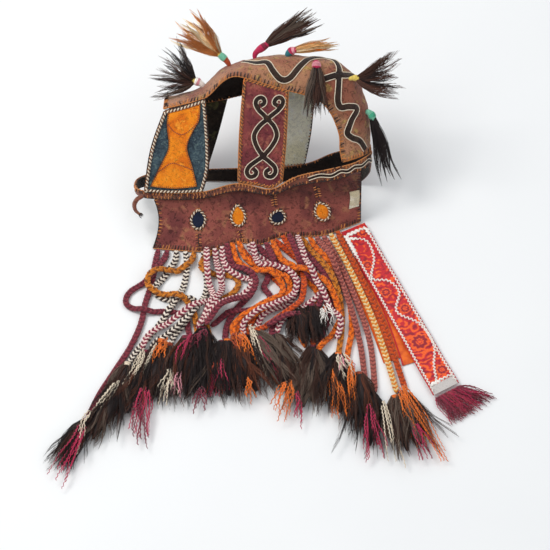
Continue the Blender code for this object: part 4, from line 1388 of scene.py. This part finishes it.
# ---------------------------------------------------------------- the curtain
# Curtain: x, top h (under the ring's near edge) and floor y of its lower edge
CURTAIN = (
    (-0.244, -0.006, 0.066),
    (-0.200, -0.006, 0.061),
    (-0.160, -0.004, 0.058),
    (-0.120, 0.000, 0.061),
    (-0.074, 0.011, 0.080),
    (-0.030, 0.007, 0.076),
    (0.010, 0.009, 0.094),
    (0.050, 0.022, 0.096),
    (0.100, 0.030, 0.100),
    (0.140, 0.038, 0.118),
    (0.172, 0.044, 0.134),
)
CURTAIN_TUCK = 0.008
CURTAIN_SWEEP = 1.25
CURTAIN_DROP = 1.10
CURTAIN_EDGE_WAVE = 0.012

# Inserts: piece, node, paint, slot, across, down, half width, half height, turn
INSERTS = (
    ("navy_drop_left", "navy_insert_left", "navy", "felt_navy", 0.215, 0.46, 0.0135, 0.017, 0.0),
    ("orange_drop_left", "orange_insert_left", "orange", "felt_orange", 0.400, 0.52, 0.0115, 0.019, 0.1),
    ("navy_drop_right", "navy_insert_right", "navy", "felt_navy", 0.590, 0.58, 0.0150, 0.012, -0.35),
    ("orange_drop_right", "orange_insert_right", "orange", "felt_orange", 0.790, 0.58, 0.0110, 0.018, 0.35),
)
# Stitched seams of the curtain, as (across, down) from top to bottom
SEAMS = (
    ((0.215, 0.72), (0.220, 0.99)),
    ((0.405, 0.80), (0.425, 0.99)),
    ((0.565, 0.10), (0.575, 0.36)),
    ((0.765, 0.12), (0.775, 0.34)),
)
PATCH_CORNERS = (0.925, 0.985, 0.34, 0.66)


def curtain_point(across, down):
    """The curtain's outer face: across 0 left to 1 right, down 0 top to 1 lower edge."""
    x, top_h, floor_y = smooth_value(CURTAIN, across * (len(CURTAIN) - 1))
    top = hood_point(x, top_h + CURTAIN_TUCK, 0.0012) - SHIFT
    wave = CURTAIN_EDGE_WAVE * math.sin(down * math.pi) * (1.0 - min(1.0, across / 0.14)) ** 1.5
    y = top.y + (floor_y - top.y) * down ** CURTAIN_SWEEP
    z = top.z * max(0.0, 1.0 - down) ** CURTAIN_DROP
    return Vector((x + wave, y, z + FELT * down * 0.9)) + SHIFT


def curtain_normal(across, down):
    step = 0.02
    sideways = curtain_point(min(1.0, across + step), down) - curtain_point(max(0.0, across - step), down)
    downward = curtain_point(across, min(1.0, down + step)) - curtain_point(across, max(0.0, down - step))
    return downward.cross(sideways).normalized()


def drop_outline(across, down, half_width, half_height, turn, count, grow=0.0):
    """A teardrop with its point up, in the curtain's own fractions."""
    width = CURTAIN[-1][0] - CURTAIN[0][0]
    height = (curtain_point(across, 1.0) - curtain_point(across, 0.0)).length
    outline = []
    for k in range(count):
        angle = 2.0 * math.pi * k / count
        narrow = 1.0 - 0.38 * max(0.0, math.cos(angle)) ** 1.5
        a = (half_width + grow) * math.sin(angle) * narrow
        b = (half_height + grow) * math.cos(angle)
        sideways = a * math.cos(turn) - b * math.sin(turn)
        upward = a * math.sin(turn) + b * math.cos(turn)
        outline.append((across + sideways / width, down - upward / height))
    return outline


def make_insert(
    name, paint, slot, node, across, down, half_width, half_height, turn,
    tree, facing, cords, stitches, rng,
):
    count, rings = 40, 5
    points, faces = [], []
    for ring in range(rings):
        share = 1.0 - ring / rings
        outline = drop_outline(across, down, half_width * share, half_height * share, turn, count)
        for a, d in outline:
            spot, _ = on_surface(tree, curtain_point(a, d), facing, 0.0003 if ring == 0 else 0.0017)
            points.append(spot)
    for ring in range(rings - 1):
        for k in range(count):
            n = (k + 1) % count
            a = ring * count
            faces.append((a + k, a + n, a + count + n, a + count + k))
    end = (rings - 1) * count
    faces.append(tuple(end + k for k in range(count)))
    mesh = bpy.data.meshes.new(name)
    mesh.from_pydata([tuple(p) for p in points], [], faces)
    assign(placed(name, mesh, paint, "neck_curtain"), node)
    loop = drop_outline(across, down, half_width, half_height, turn, 48, 0.0014)
    line = [on_surface(tree, curtain_point(a, d), facing, 0.0013)[0] for a, d in loop]
    line.append(line[0])
    two_ply(cords, line, [facing] * len(line), 0.0016, 0.0074, (CREAM, CORD_BROWN))
    outer = drop_outline(across, down, half_width, half_height, turn, 30, 0.0058)
    inner = drop_outline(across, down, half_width, half_height, turn, 30, 0.0030)
    for (a, d), (e, f) in zip(outer, inner):
        start, normal = on_surface(tree, curtain_point(a, d), facing, 0.0002)
        end, _ = on_surface(tree, curtain_point(e, f), facing, 0.0004)
        middle = (start + end) / 2.0 + normal * 0.0009
        stitches.tube([start, middle, end], 0.0008, varied(rng.choice((STITCH_DARK, STITCH_TAN)), rng, 0.2))


def seam_stitches(gather, tree, facing, seam, rng):
    """A seam: a dark line with short crossing stitches of two colours on each side."""
    (a, d), (e, f) = seam
    line = [curtain_point(a + (e - a) * k / 12.0, d + (f - d) * k / 12.0) for k in range(13)]
    places = respaced(line, max(4, round(length_of(line) / 0.0046)))
    gather.tube([on_surface(tree, p, facing, 0.0004)[0] for p in places], 0.0009, STITCH_DARK)
    for i, p in enumerate(places[:-1]):
        along = (places[i + 1] - p).normalized()
        side = along.cross(facing).normalized()
        for way in (-1.0, 1.0):
            start, normal = on_surface(tree, p + side * way * 0.0008, facing, 0.0004)
            end, _ = on_surface(tree, p + side * way * 0.0062 + along * 0.0012, facing, 0.0003)
            tone = varied(rng.choice((STITCH_TAN, STITCH_DARK, STITCH_TAN)), rng, 0.25)
            gather.tube([start, (start + end) / 2.0 + normal * 0.0009, end], 0.0009, tone)


def make_curtain(paints):
    rng = random.Random(11)
    rows, columns = 30, 110
    grid = []
    for r in range(rows):
        down = r / (rows - 1)
        line = []
        for c in range(columns):
            across = c / (columns - 1)
            spot = curtain_point(across, down)
            wave = noise.noise(Vector((across * 14.0, down * 3.0, 2.0)))
            spot += UP * 0.0014 * wave * math.sin(math.pi * down)
            line.append(spot)
        grid.append(line)
    obj = cloth("curtain_felt", grid, FELT, (paints["curtain"], paints["inside"]), None, lump=0.0010)
    tree = tree_of(obj)
    down = (curtain_point(0.5, 0.6) - curtain_point(0.5, 0.1)).normalized()
    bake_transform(obj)
    assign(obj, "curtain")
    facing = curtain_normal(0.5, 0.6)
    stitches, cords = Gather(), Gather()
    for name, node, paint, slot, *shape in INSERTS:
        make_insert(name, paints[paint], slot, node, *shape, tree, facing, cords, stitches, rng)
    for seam in SEAMS:
        seam_stitches(stitches, tree, facing, seam, rng)
    edge = [curtain_point(k / 90.0, 1.0) for k in range(91)]
    inward = [curtain_point(k / 90.0, 0.9) - curtain_point(k / 90.0, 1.0) for k in range(91)]
    outs = [curtain_normal(k / 90.0, 0.96) for k in range(91)]
    blanket(stitches, edge, inward, outs, 0.0060, 0.0084, 0.0030, EDGE_TONES, rng, 0.0012, tree)
    for across, inner in ((0.0, 0.03), (1.0, 0.97)):
        edge = [curtain_point(across, 0.08 + 0.92 * k / 20.0) for k in range(21)]
        inward = [curtain_point(inner, 0.08 + 0.92 * k / 20.0) - edge[k] for k in range(21)]
        outs = [curtain_normal(across, 0.08 + 0.9 * k / 20.0) for k in range(21)]
        blanket(stitches, edge, inward, outs, 0.0068, 0.0060, 0.0040, (STITCH_DARK, STITCH_TAN), rng)
    left, right, high, low = PATCH_CORNERS
    grid = []
    for r in range(12):
        d = high + (low - high) * r / 11.0
        line = []
        for c in range(12):
            a = left + (right - left) * c / 11.0 + 0.004 * math.sin(4.0 * r / 11.0)
            line.append(on_surface(tree, curtain_point(a, d), facing, 0.0020)[0])
        grid.append(line)
    patch = cloth("lining_patch_cloth", grid, 0.0014, paints["cream"], "neck_curtain", lump=0.0003)
    assign(patch, "lining_patch")
    stitches.finish("curtain_stitches", paints["cord"], "neck_curtain", "felt_maroon")
    cords.finish("curtain_cords", paints["cord"], "neck_curtain", "felt_cream")


# ---------------------------------------------------------------- the silk strip
SILK_STRIP = ((0.134, 0.104), (0.180, 0.128), (0.360, -0.274), (0.310, -0.305))
STRIP_LINING = (
    (0.172, 0.012), (0.200, 0.016), (0.285, -0.190), (0.282, -0.216),
    (0.252, -0.228), (0.247, -0.206), (0.224, -0.119), (0.200, -0.050),
)
# The same orange cloth under the right hand braids
UNDER_CLOTH = (
    (0.138, 0.052), (0.186, 0.030), (0.206, -0.050), (0.230, -0.119), (0.252, -0.206), (0.214, -0.222),
    (0.188, -0.130), (0.160, -0.040),
)
STRIP_TOP = 0.0064
PRINT_END = 0.955
# The vine's turns as (along, across), and the flowers as (along, across, radius)
VINE = (
    (0.05, -0.80), (0.10, 0.36), (0.20, 0.24), (0.30, -0.72), (0.35, 0.30), (0.43, 0.58), (0.52, -0.32),
    (0.63, 0.70), (0.76, 0.84), (0.86, 0.10), (0.94, -0.30),
)
FLOWERS = (
    (0.045, 0.50, 0.0095), (0.22, -0.46, 0.0080), (0.40, -0.30, 0.0085), (0.52, 0.36, 0.0090),
    (0.715, 0.06, 0.0150), (0.90, 0.46, 0.0100),
)
SILK_RED = rgb(196, 22, 36)
SILK_DEEP = rgb(146, 10, 34)
SILK_ORANGE = rgb(242, 92, 18)
SILK_PALE = rgb(196, 190, 186)


def strip_place(along, across):
    """On the strip from its top edge (along 0) to its bottom (1), across -1 left to 1 right."""
    tl, tr, br, bl = (Vector((*p, 0.0)) for p in SILK_STRIP)
    left, right = tl.lerp(bl, along), tr.lerp(br, along)
    return left.lerp(right, 0.5 + 0.5 * across) + SHIFT


def strip_height(along, across):
    ripple = 0.0011 * math.sin(along * 21.0) * (0.6 + 0.4 * math.sin(along * 8.0 + across))
    return STRIP_TOP + 0.0012 + ripple + 0.0008 * noise.noise(Vector((along * 16.0, across * 1.5, 7.0)))


def strip_point(along, across, lift=0.0):
    return strip_place(along, across) + UP * (strip_height(along, across) + lift)


# A printed flower's rings: outer edge as a share of its size, colour
FLOWER_BANDS = (
    (0.20, SILK_ORANGE),
    (0.36, SILK_RED),
    (0.50, SILK_ORANGE),
    (1.00, SILK_DEEP),
    (1.30, SILK_ORANGE),
)


def print_tone(along, across, long, wide):
    """The print: round flowers, and curling leaves that turn from red to orange down the strip."""
    if along > PRINT_END:
        return SILK_PALE
    x, y = along * long, across * wide / 2.0
    for centre, side, size in FLOWERS:
        u, v = x - centre * long, y - side * wide / 2.0
        apart = math.hypot(u, v) / (size * (1.0 + 0.10 * math.cos(9.0 * math.atan2(v, u))))
        if apart < FLOWER_BANDS[-1][0]:
            return next(tone for edge, tone in FLOWER_BANDS if apart < edge)
    swirl = noise.noise(Vector((x * 60.0, y * 60.0, 1.0)))
    mottle = noise.noise(Vector((x * 120.0, y * 120.0, 5.0)))
    leaf = math.sin(250.0 * x + 8.0 * swirl + 120.0 * abs(y)) + 1.2 * mottle
    if leaf > 1.15 - 1.15 * along:
        return SILK_ORANGE
    if leaf < -0.80:
        return SILK_DEEP
    return SILK_RED


def rickrack(gather, line, facing, amplitude, wave, half_width, thickness):
    """A white zig zag braid sewn on along a line."""
    count = max(8, round(length_of(line) / wave * 8))
    places = respaced(line, count)
    path = []
    for i, p in enumerate(places):
        side = ahead_of(places, i).cross(facing).normalized()
        path.append(p + side * amplitude * math.sin(2.0 * math.pi * i / 8.0))
    gather.tube(path, half_width, WHITE, sides=6, squash=thickness / half_width)


# The fringe under the strip's end: left and right of its start, and of its ends
FRINGE_STARTS = ((0.3135, -0.3095), (0.3635, -0.2785))
FRINGE_ENDS = ((0.345, -0.362), (0.424, -0.303))
FRINGE_YARNS = 150


def make_strip(paints):
    make_print(paints)
    make_tapes(paints)
    make_lining(paints)
    make_fringe(paints)


def make_print(paints):
    """The printed silk, with the print as a colour at every point."""
    top_left, top_right, low_right, low_left = (Vector((*p, 0.0)) for p in SILK_STRIP)
    long = ((low_left - top_left).length + (low_right - top_right).length) / 2.0
    wide = ((top_right - top_left).length + (low_right - low_left).length) / 2.0
    rows, columns = 230, 30
    grid, tones = [], []
    for r in range(rows):
        along = r / (rows - 1)
        grid.append([strip_point(along, 2.0 * c / (columns - 1) - 1.0) for c in range(columns)])
        tones += [print_tone(along, 2.0 * c / (columns - 1) - 1.0, long, wide) for c in range(columns)]
    obj = cloth("silk_print", grid, 0.0012, (paints["silk"], paints["silk_back"]), "silk_strip", lump=0.0002)
    tone = obj.data.attributes.new("tone", "FLOAT_COLOR", "POINT")
    tone.data.foreach_set("color", [c for t in tones + tones for c in t])
    assign(obj, "silk_strip")


def make_tapes(paints):
    """White rickrack on the strip's edges and along its vine, and the rolled hems."""
    tape = Gather()
    edges = []
    for way in (-1.0, 1.0):
        edges.append([strip_point(0.03 + k / 120.0 * 0.955, way * 0.88, 0.0008) for k in range(121)])
    edges.append([strip_point(0.03, k / 12.0 - 1.0, 0.0009) for k in range(2, 23)])
    edges.append([strip_point(PRINT_END - 0.008, k / 12.0 - 1.0, 0.0009) for k in range(2, 23)])
    vine = smooth_line([Vector((*p, 0.0)) for p in VINE], 0.02)
    edges.append([strip_point(p.x, p.y, 0.0008) for p in vine])
    for line in edges:
        rickrack(tape, line, UP, 0.0020, 0.0084, 0.0032, 0.0011)
    tape.finish("rickrack", paints["yarn"], "silk_strip", "felt_cream")
    hems = Gather()
    for way in (-1.0, 1.0):
        hems.tube([strip_point(k / 90.0, way * 0.985, -0.0004) for k in range(91)], 0.0013, SILK_RED, sides=6)
    hems.finish("strip_hems", paints["yarn"], "silk_strip", "silk_red")


def make_lining(paints):
    """The orange lining strip beside the silk, its hem, and the orange cloth under the braids."""
    grid = []
    for r, row in enumerate(patch_grid(STRIP_LINING, (0, 1, 3, 4), 60, 14)):
        line = []
        for p in row:
            ripple = 0.0004 * noise.noise(Vector((p.x * 60.0, p.y * 60.0, 3.0)))
            line.append(Vector((p.x, p.y, 0.0023 + ripple)) + SHIFT)
        grid.append(line)
    obj = cloth("strip_lining_cloth", grid, 0.0014, paints["lining"], "silk_strip", lump=0.0002)
    assign(obj, "strip_lining")
    grid = []
    for row in patch_grid(UNDER_CLOTH, (0, 1, 4, 5), 50, 12):
        grid.append([Vector((p.x, p.y, 0.0016)) + SHIFT for p in row])
    obj = cloth("under_cloth", grid, 0.0010, paints["lining"], "neck_curtain", lump=0.0001)
    assign(obj)
    hem = Gather()
    edge = [Vector((*p, 0.0026)) + SHIFT for p in STRIP_LINING]
    hem.tube(smooth_line(edge[4:8] + [edge[0]], 0.004), 0.0014, SILK_RED, sides=6)
    hem.finish("lining_hem", paints["yarn"], "silk_strip", "silk_red")


def make_fringe(paints):
    rng = random.Random(5)
    fringe = Gather()
    start_left, start_right = (Vector((*p, 0.0)) for p in FRINGE_STARTS)
    end_left, end_right = (Vector((*p, 0.0)) for p in FRINGE_ENDS)
    for _ in range(FRINGE_YARNS):
        share = rng.random()
        start = start_left.lerp(start_right, share) + SHIFT + UP * rng.uniform(0.0015, 0.0045)
        end = end_left.lerp(end_right, share) + SHIFT
        end += Vector((rng.uniform(-0.012, 0.012), rng.uniform(-0.014, 0.010), 0.0))
        ahead = (end - start).normalized()
        ahead.z = 0.0
        side = ahead.cross(UP).normalized()
        tone = rng.choice((WINE, WINE, rgb(150, 44, 60), rgb(96, 24, 40), MAGENTA))
        reach = (rng.uniform(-0.006, 0.006), rng.uniform(0.001, 0.006))
        yarn_end(fringe, start, ahead, side, (end - start).length, reach, rng, tone, 0.0009)
    fringe.finish("strip_fringe_yarn", paints["yarn"], "silk_strip", "yarn_burgundy", "strip_fringe")


# ---------------------------------------------------------------- crest tassels
# Place along and across the crest, direction (x, h, g), length
CREST_TASSELS = (
    (2.0, 0.00, (-0.94, 0.26, 0.05), 0.105),
    (3.6, 0.00, (-0.75, 0.66, 0.05), 0.128),
    (5.3, 0.05, (0.80, 0.56, 0.10), 0.150),
    (7.0, -0.10, (0.97, 0.22, -0.10), 0.105),
    (8.25, -0.34, (0.02, -0.90, -0.42), 0.100),
    (10.1, -0.30, (0.95, -0.16, -0.10), 0.100),
    (12.0, -0.22, (0.30, -0.94, -0.10), 0.135),
)

# Wrap: share of its length wound, radius at root and end, tones; then the hair's locks: how
# many, half fan to the side, half fan up, strands in one, girth, strand, bend, wave, tones, length
CREST_LOOKS = (
    (0.10, 0.0080, 0.0072, (WHITE, PINK, WHITE, YELLOW), 30, 0.95, 0.40, 12, 0.0058, 0.00060, 0.14, 0.0030,
     (HAIR_BROWN, HAIR_GREY, HAIR_BLACK, HAIR_BLACK), 1.00),
    (0.15, 0.0072, 0.0060, (RUST, MINT, MINT, MINT, YELLOW), 20, 0.44, 0.16, 20, 0.0066, 0.00075,
     0.00, 0.0040, (STRAW, STRAW_PALE, STRAW_DARK, STRAW), 1.02),
    (0.20, 0.0074, 0.0070, (MAGENTA, MAGENTA, WINE, MAGENTA), 26, 0.20, 0.10, 20, 0.0066, 0.00060,
     -0.10, 0.0020, (HAIR_BLACK, HAIR_GREY, HAIR_BROWN), 1.00),
    (0.10, 0.0082, 0.0062, (TEAL, MAGENTA, PINK, MAGENTA), 12, 0.10, 0.08, 18, 0.0050, 0.00065, 0.06, 0.0016,
     (ORANGE, STRAW, STRAW_PALE, STRAW), 1.00),
    (0.08, 0.0092, 0.0084, (MAGENTA, PINK, MAGENTA), 26, 0.20, 0.14, 20, 0.0062, 0.00062, 0.08, 0.0030,
     (HAIR_BROWN, HAIR_BLACK, HAIR_BROWN, HAIR_GREY), 1.18),
    (0.06, 0.0058, 0.0060, (YELLOW, YELLOW), 30, 0.66, 0.34, 14, 0.0056, 0.00062, -0.34, 0.0024,
     (HAIR_BROWN, rgb(98, 62, 50), HAIR_BROWN, HAIR_BLACK), 1.02),
    (0.07, 0.0078, 0.0070, (MINT, rgb(70, 168, 132), MINT), 10, 0.13, 0.10, 26, 0.0060, 0.00062, 0.06, 0.0036,
     (HAIR_BLACK, HAIR_BLACK), 1.12),
)
STRAW_TASSELS = (2, 4)


def make_crest_tassel(number, spec, look, paints):
    rng = random.Random(40 + number)
    u, w, direction, length = spec
    share, root_radius, end_radius, wraps = look[:4]
    locks, fan, rise, strands, girth, strand, bend, wave, hairs, longer = look[4:]
    start = crest_point(u, w)
    normal = crest_normal(u, w)
    ahead = hood_direction(*direction)
    turn = start + normal * 0.0092 + ahead * 0.007
    body = f"crest_tassel_{number}"
    wound = length * share
    curve = smooth_line([start - normal * 0.003, start + normal * 0.004, turn, turn + ahead * wound], 0.0012)
    side = ahead.cross(hood_direction(0.0, 0.0, 1.0)).normalized()
    up = side.cross(ahead).normalized()
    if up.dot(normal) < 0.0:
        up = -up

    wrap = Gather()
    core = []
    for k in range(len(curve)):
        core.append(0.0020 + (root_radius - 0.0032) * math.sin(math.pi * min(1.0, 0.1 + k / len(curve))))
    wrap.tube(curve, core, varied(wraps[0], rng, 0.1), sides=8)
    first = len(curve) // 3
    winding = []
    shades = []
    for k in range(first, len(curve)):
        along = (k - first) / max(1, len(curve) - 1 - first)
        swell = math.sin(math.pi * (0.12 + 0.80 * along)) ** 0.6
        radius = (root_radius + (end_radius - root_radius) * along) * swell
        tone = wraps[min(len(wraps) - 1, int(along * len(wraps)))]
        there = ahead_of(curve, k)
        beside = there.cross(normal if abs(there.dot(normal)) < 0.9 else side).normalized()
        over = beside.cross(there)
        for step in range(10):
            angle = 2.0 * math.pi * step / 10.0
            spot = curve[k] + (beside * math.cos(angle) + over * math.sin(angle)) * radius
            winding.append(spot + there * (0.0012 * step / 10.0))
            shades.append(varied(tone, rng, 0.16))
    wrap.tube(winding, 0.00105, shades, sides=5)
    wrap.finish(f"crest_wrap_{number}", paints["yarn"], body, "yarn_burgundy")

    hair = Gather()
    root = curve[-1] - ahead * 0.004
    long = (length - wound) * longer
    lowest = -0.1 if up.dot(normal) > 0.5 else -1.0
    for k in range(locks):
        across = (k + rng.uniform(0.15, 0.85)) / locks * 2.0 - 1.0
        lean = (fan * across, rise * rng.uniform(lowest, 1.0))
        heading = (ahead + side * lean[0] + up * lean[1]).normalized()
        beside = heading.cross(up).normalized()
        over = beside.cross(heading).normalized()
        spread = (beside.dot(side) * fan * across * 0.01, 0.0)
        lock(
            hair, root + (side * across + up * rng.uniform(-0.8, 0.8)) * end_radius * 0.6,
            heading, beside, over, long * rng.uniform(0.70, 1.02), spread, rng, hairs, strand,
            strands, girth, wave=wave, bend=bend * rng.uniform(0.5, 1.3),
        )
    slot = "hair_straw" if number in STRAW_TASSELS else "hair_dark"
    hair.finish(f"crest_hair_{number}", paints["hair"], body, slot, body)


# ---------------------------------------------------------------- floor and light
FLOOR_HALF = 30.0
FLOOR_HEIGHT = -0.0004
DAYLIGHT = (0.95, 0.975, 1.0, 1.0)
DAYLIGHT_STRENGTH = 0.64
LIT_POINT = Vector((0.0, 0.05, 0.08))
# Each light: name, place, side of its square, watts, colour
LIGHTS = (
    ("key", (-1.7, 0.3, 2.6), 1.3, 50.0, (1.0, 0.985, 0.96)),
    ("fill", (1.8, -1.6, 2.2), 2.0, 9.0, (0.95, 0.97, 1.0)),
    ("back", (0.2, 2.2, 2.0), 1.6, 9.0, (0.95, 0.97, 1.0)),
)


def make_stage():
    mesh = bpy.data.meshes.new("floor")
    corners = ((-1.0, -1.0), (1.0, -1.0), (1.0, 1.0), (-1.0, 1.0))
    points = [(x * FLOOR_HALF, y * FLOOR_HALF, FLOOR_HEIGHT) for x, y in corners]
    mesh.from_pydata(points, [], [(0, 1, 2, 3)])
    paint = Paint("floor_paper", 0.9, specular=0.1)
    grain = paint.noise(3.0, 2.0)
    colour = paint.mix(grain, rgb(238, 239, 240), rgb(243, 244, 244))
    floor = placed("floor", mesh, paint.finish(colour, grain, 0.02), None, smooth=False)
    world = bpy.data.worlds.new("studio")
    world.use_nodes = True
    background = world.node_tree.nodes["Background"]
    background.inputs["Color"].default_value = DAYLIGHT
    background.inputs["Strength"].default_value = DAYLIGHT_STRENGTH
    bpy.context.scene.world = world
    bpy.context.scene.view_settings.view_transform = "Standard"
    for name, place, side, power, colour in LIGHTS:
        light = bpy.data.lights.new(name, "AREA")
        light.size = side
        light.energy = power
        light.color = colour
        lamp = bpy.data.objects.new(name, light)
        lamp.location = place
        lamp.rotation_euler = (LIT_POINT - Vector(place)).to_track_quat("-Z", "Y").to_euler()
        bpy.context.collection.objects.link(lamp)


def make_paints():
    silk = Paint("silk_print", 0.5, sheen=0.15, specular=0.4)
    tone = silk.tree.nodes.new("ShaderNodeAttribute")
    tone.attribute_name = "tone"
    weave = silk.noise(900.0, 2.0)
    silk_colour = silk.brighten(tone.outputs["Color"], silk.spread(weave, 0.3, 0.7, 0.84, 1.14))
    lining = Paint("lining_silk", 0.55, sheen=0.15, specular=0.35)
    lined = lining.mix(lining.spread(lining.noise(60.0), 0.35, 0.65), rgb(236, 108, 20), rgb(206, 80, 16))
    back = Paint("silk_back", 0.6, sheen=0.1, specular=0.3)
    plain = back.mix(back.noise(40.0), rgb(206, 84, 60), rgb(170, 50, 48))
    return {
        "brown": felt("felt_brown", rgb(124, 74, 58), rgb(98, 54, 46), rgb(150, 100, 70)),
        "crest": felt("felt_crest", rgb(172, 122, 92), rgb(138, 80, 62), rgb(176, 144, 82), 0.5, 9.0, 34.0),
        "maroon": felt("felt_scroll_ground", rgb(142, 70, 66), rgb(112, 48, 54), rgb(166, 102, 80)),
        "curtain": felt(
            "felt_curtain", rgb(148, 80, 70), rgb(112, 56, 54), rgb(172, 116, 84),
            # Last three: painted shade under the ring, full colour at 0.052 m high, down to 0.42 at 0.094 m.
            0.5, 13.0, 30.0, (0.052, 0.094, 0.42),
        ),
        "inside": felt("felt_inside", rgb(44, 33, 28), rgb(30, 22, 20), rgb(58, 46, 34)),
        "inside_green": felt("felt_inside_green", rgb(50, 38, 30), rgb(34, 25, 22), rgb(86, 82, 48)),
        "dark": felt("felt_dark", rgb(52, 36, 29), rgb(38, 26, 22), rgb(68, 48, 36)),
        "cream": felt("felt_cream", rgb(222, 214, 190), rgb(198, 188, 154), rgb(236, 230, 212), 0.82),
        # Painted light: a brighter copy of the cream felt, raised to offset the shade inside the hood.
        "lit_lining_cream": felt("felt_lining", rgb(250, 244, 222), rgb(236, 228, 196), rgb(252, 248, 236), 0.85),
        "slate": felt("felt_slate", rgb(62, 80, 90), rgb(46, 60, 72), rgb(96, 116, 114), 0.6, 30.0, 150.0),
        "orange": felt(
            "felt_orange", rgb(240, 138, 22), rgb(222, 112, 16), rgb(246, 160, 48), 0.70, 24.0, 90.0,
        ),
        "navy": felt("felt_navy", rgb(22, 30, 54), rgb(16, 22, 40), rgb(30, 42, 64), 0.8),
        "cord": yarn("cord"),
        "yarn": yarn("yarn"),
        "wool": yarn("wool", 0.85, 0.25, 0.2, 700.0),
        "hair": yarn("hair", 0.62, 0.03, 0.28, 2200.0),
        "silk": silk.finish(silk_colour, weave, 0.3, 0.0004),
        "silk_back": back.finish(plain, back.noise(900.0), 0.3, 0.0004),
        "lining": lining.finish(lined, lining.noise(800.0), 0.3, 0.0004),
    }


def main():
    make_view()
    paints = make_paints()
    make_braids(paints["wool"])
    make_tassels(paints)
    make_hood(paints)
    make_strap(paints)
    make_curtain(paints)
    make_strip(paints)
    for i, (spec, look) in enumerate(zip(CREST_TASSELS, CREST_LOOKS)):
        make_crest_tassel(i + 1, spec, look, paints)
    make_stage()


main()
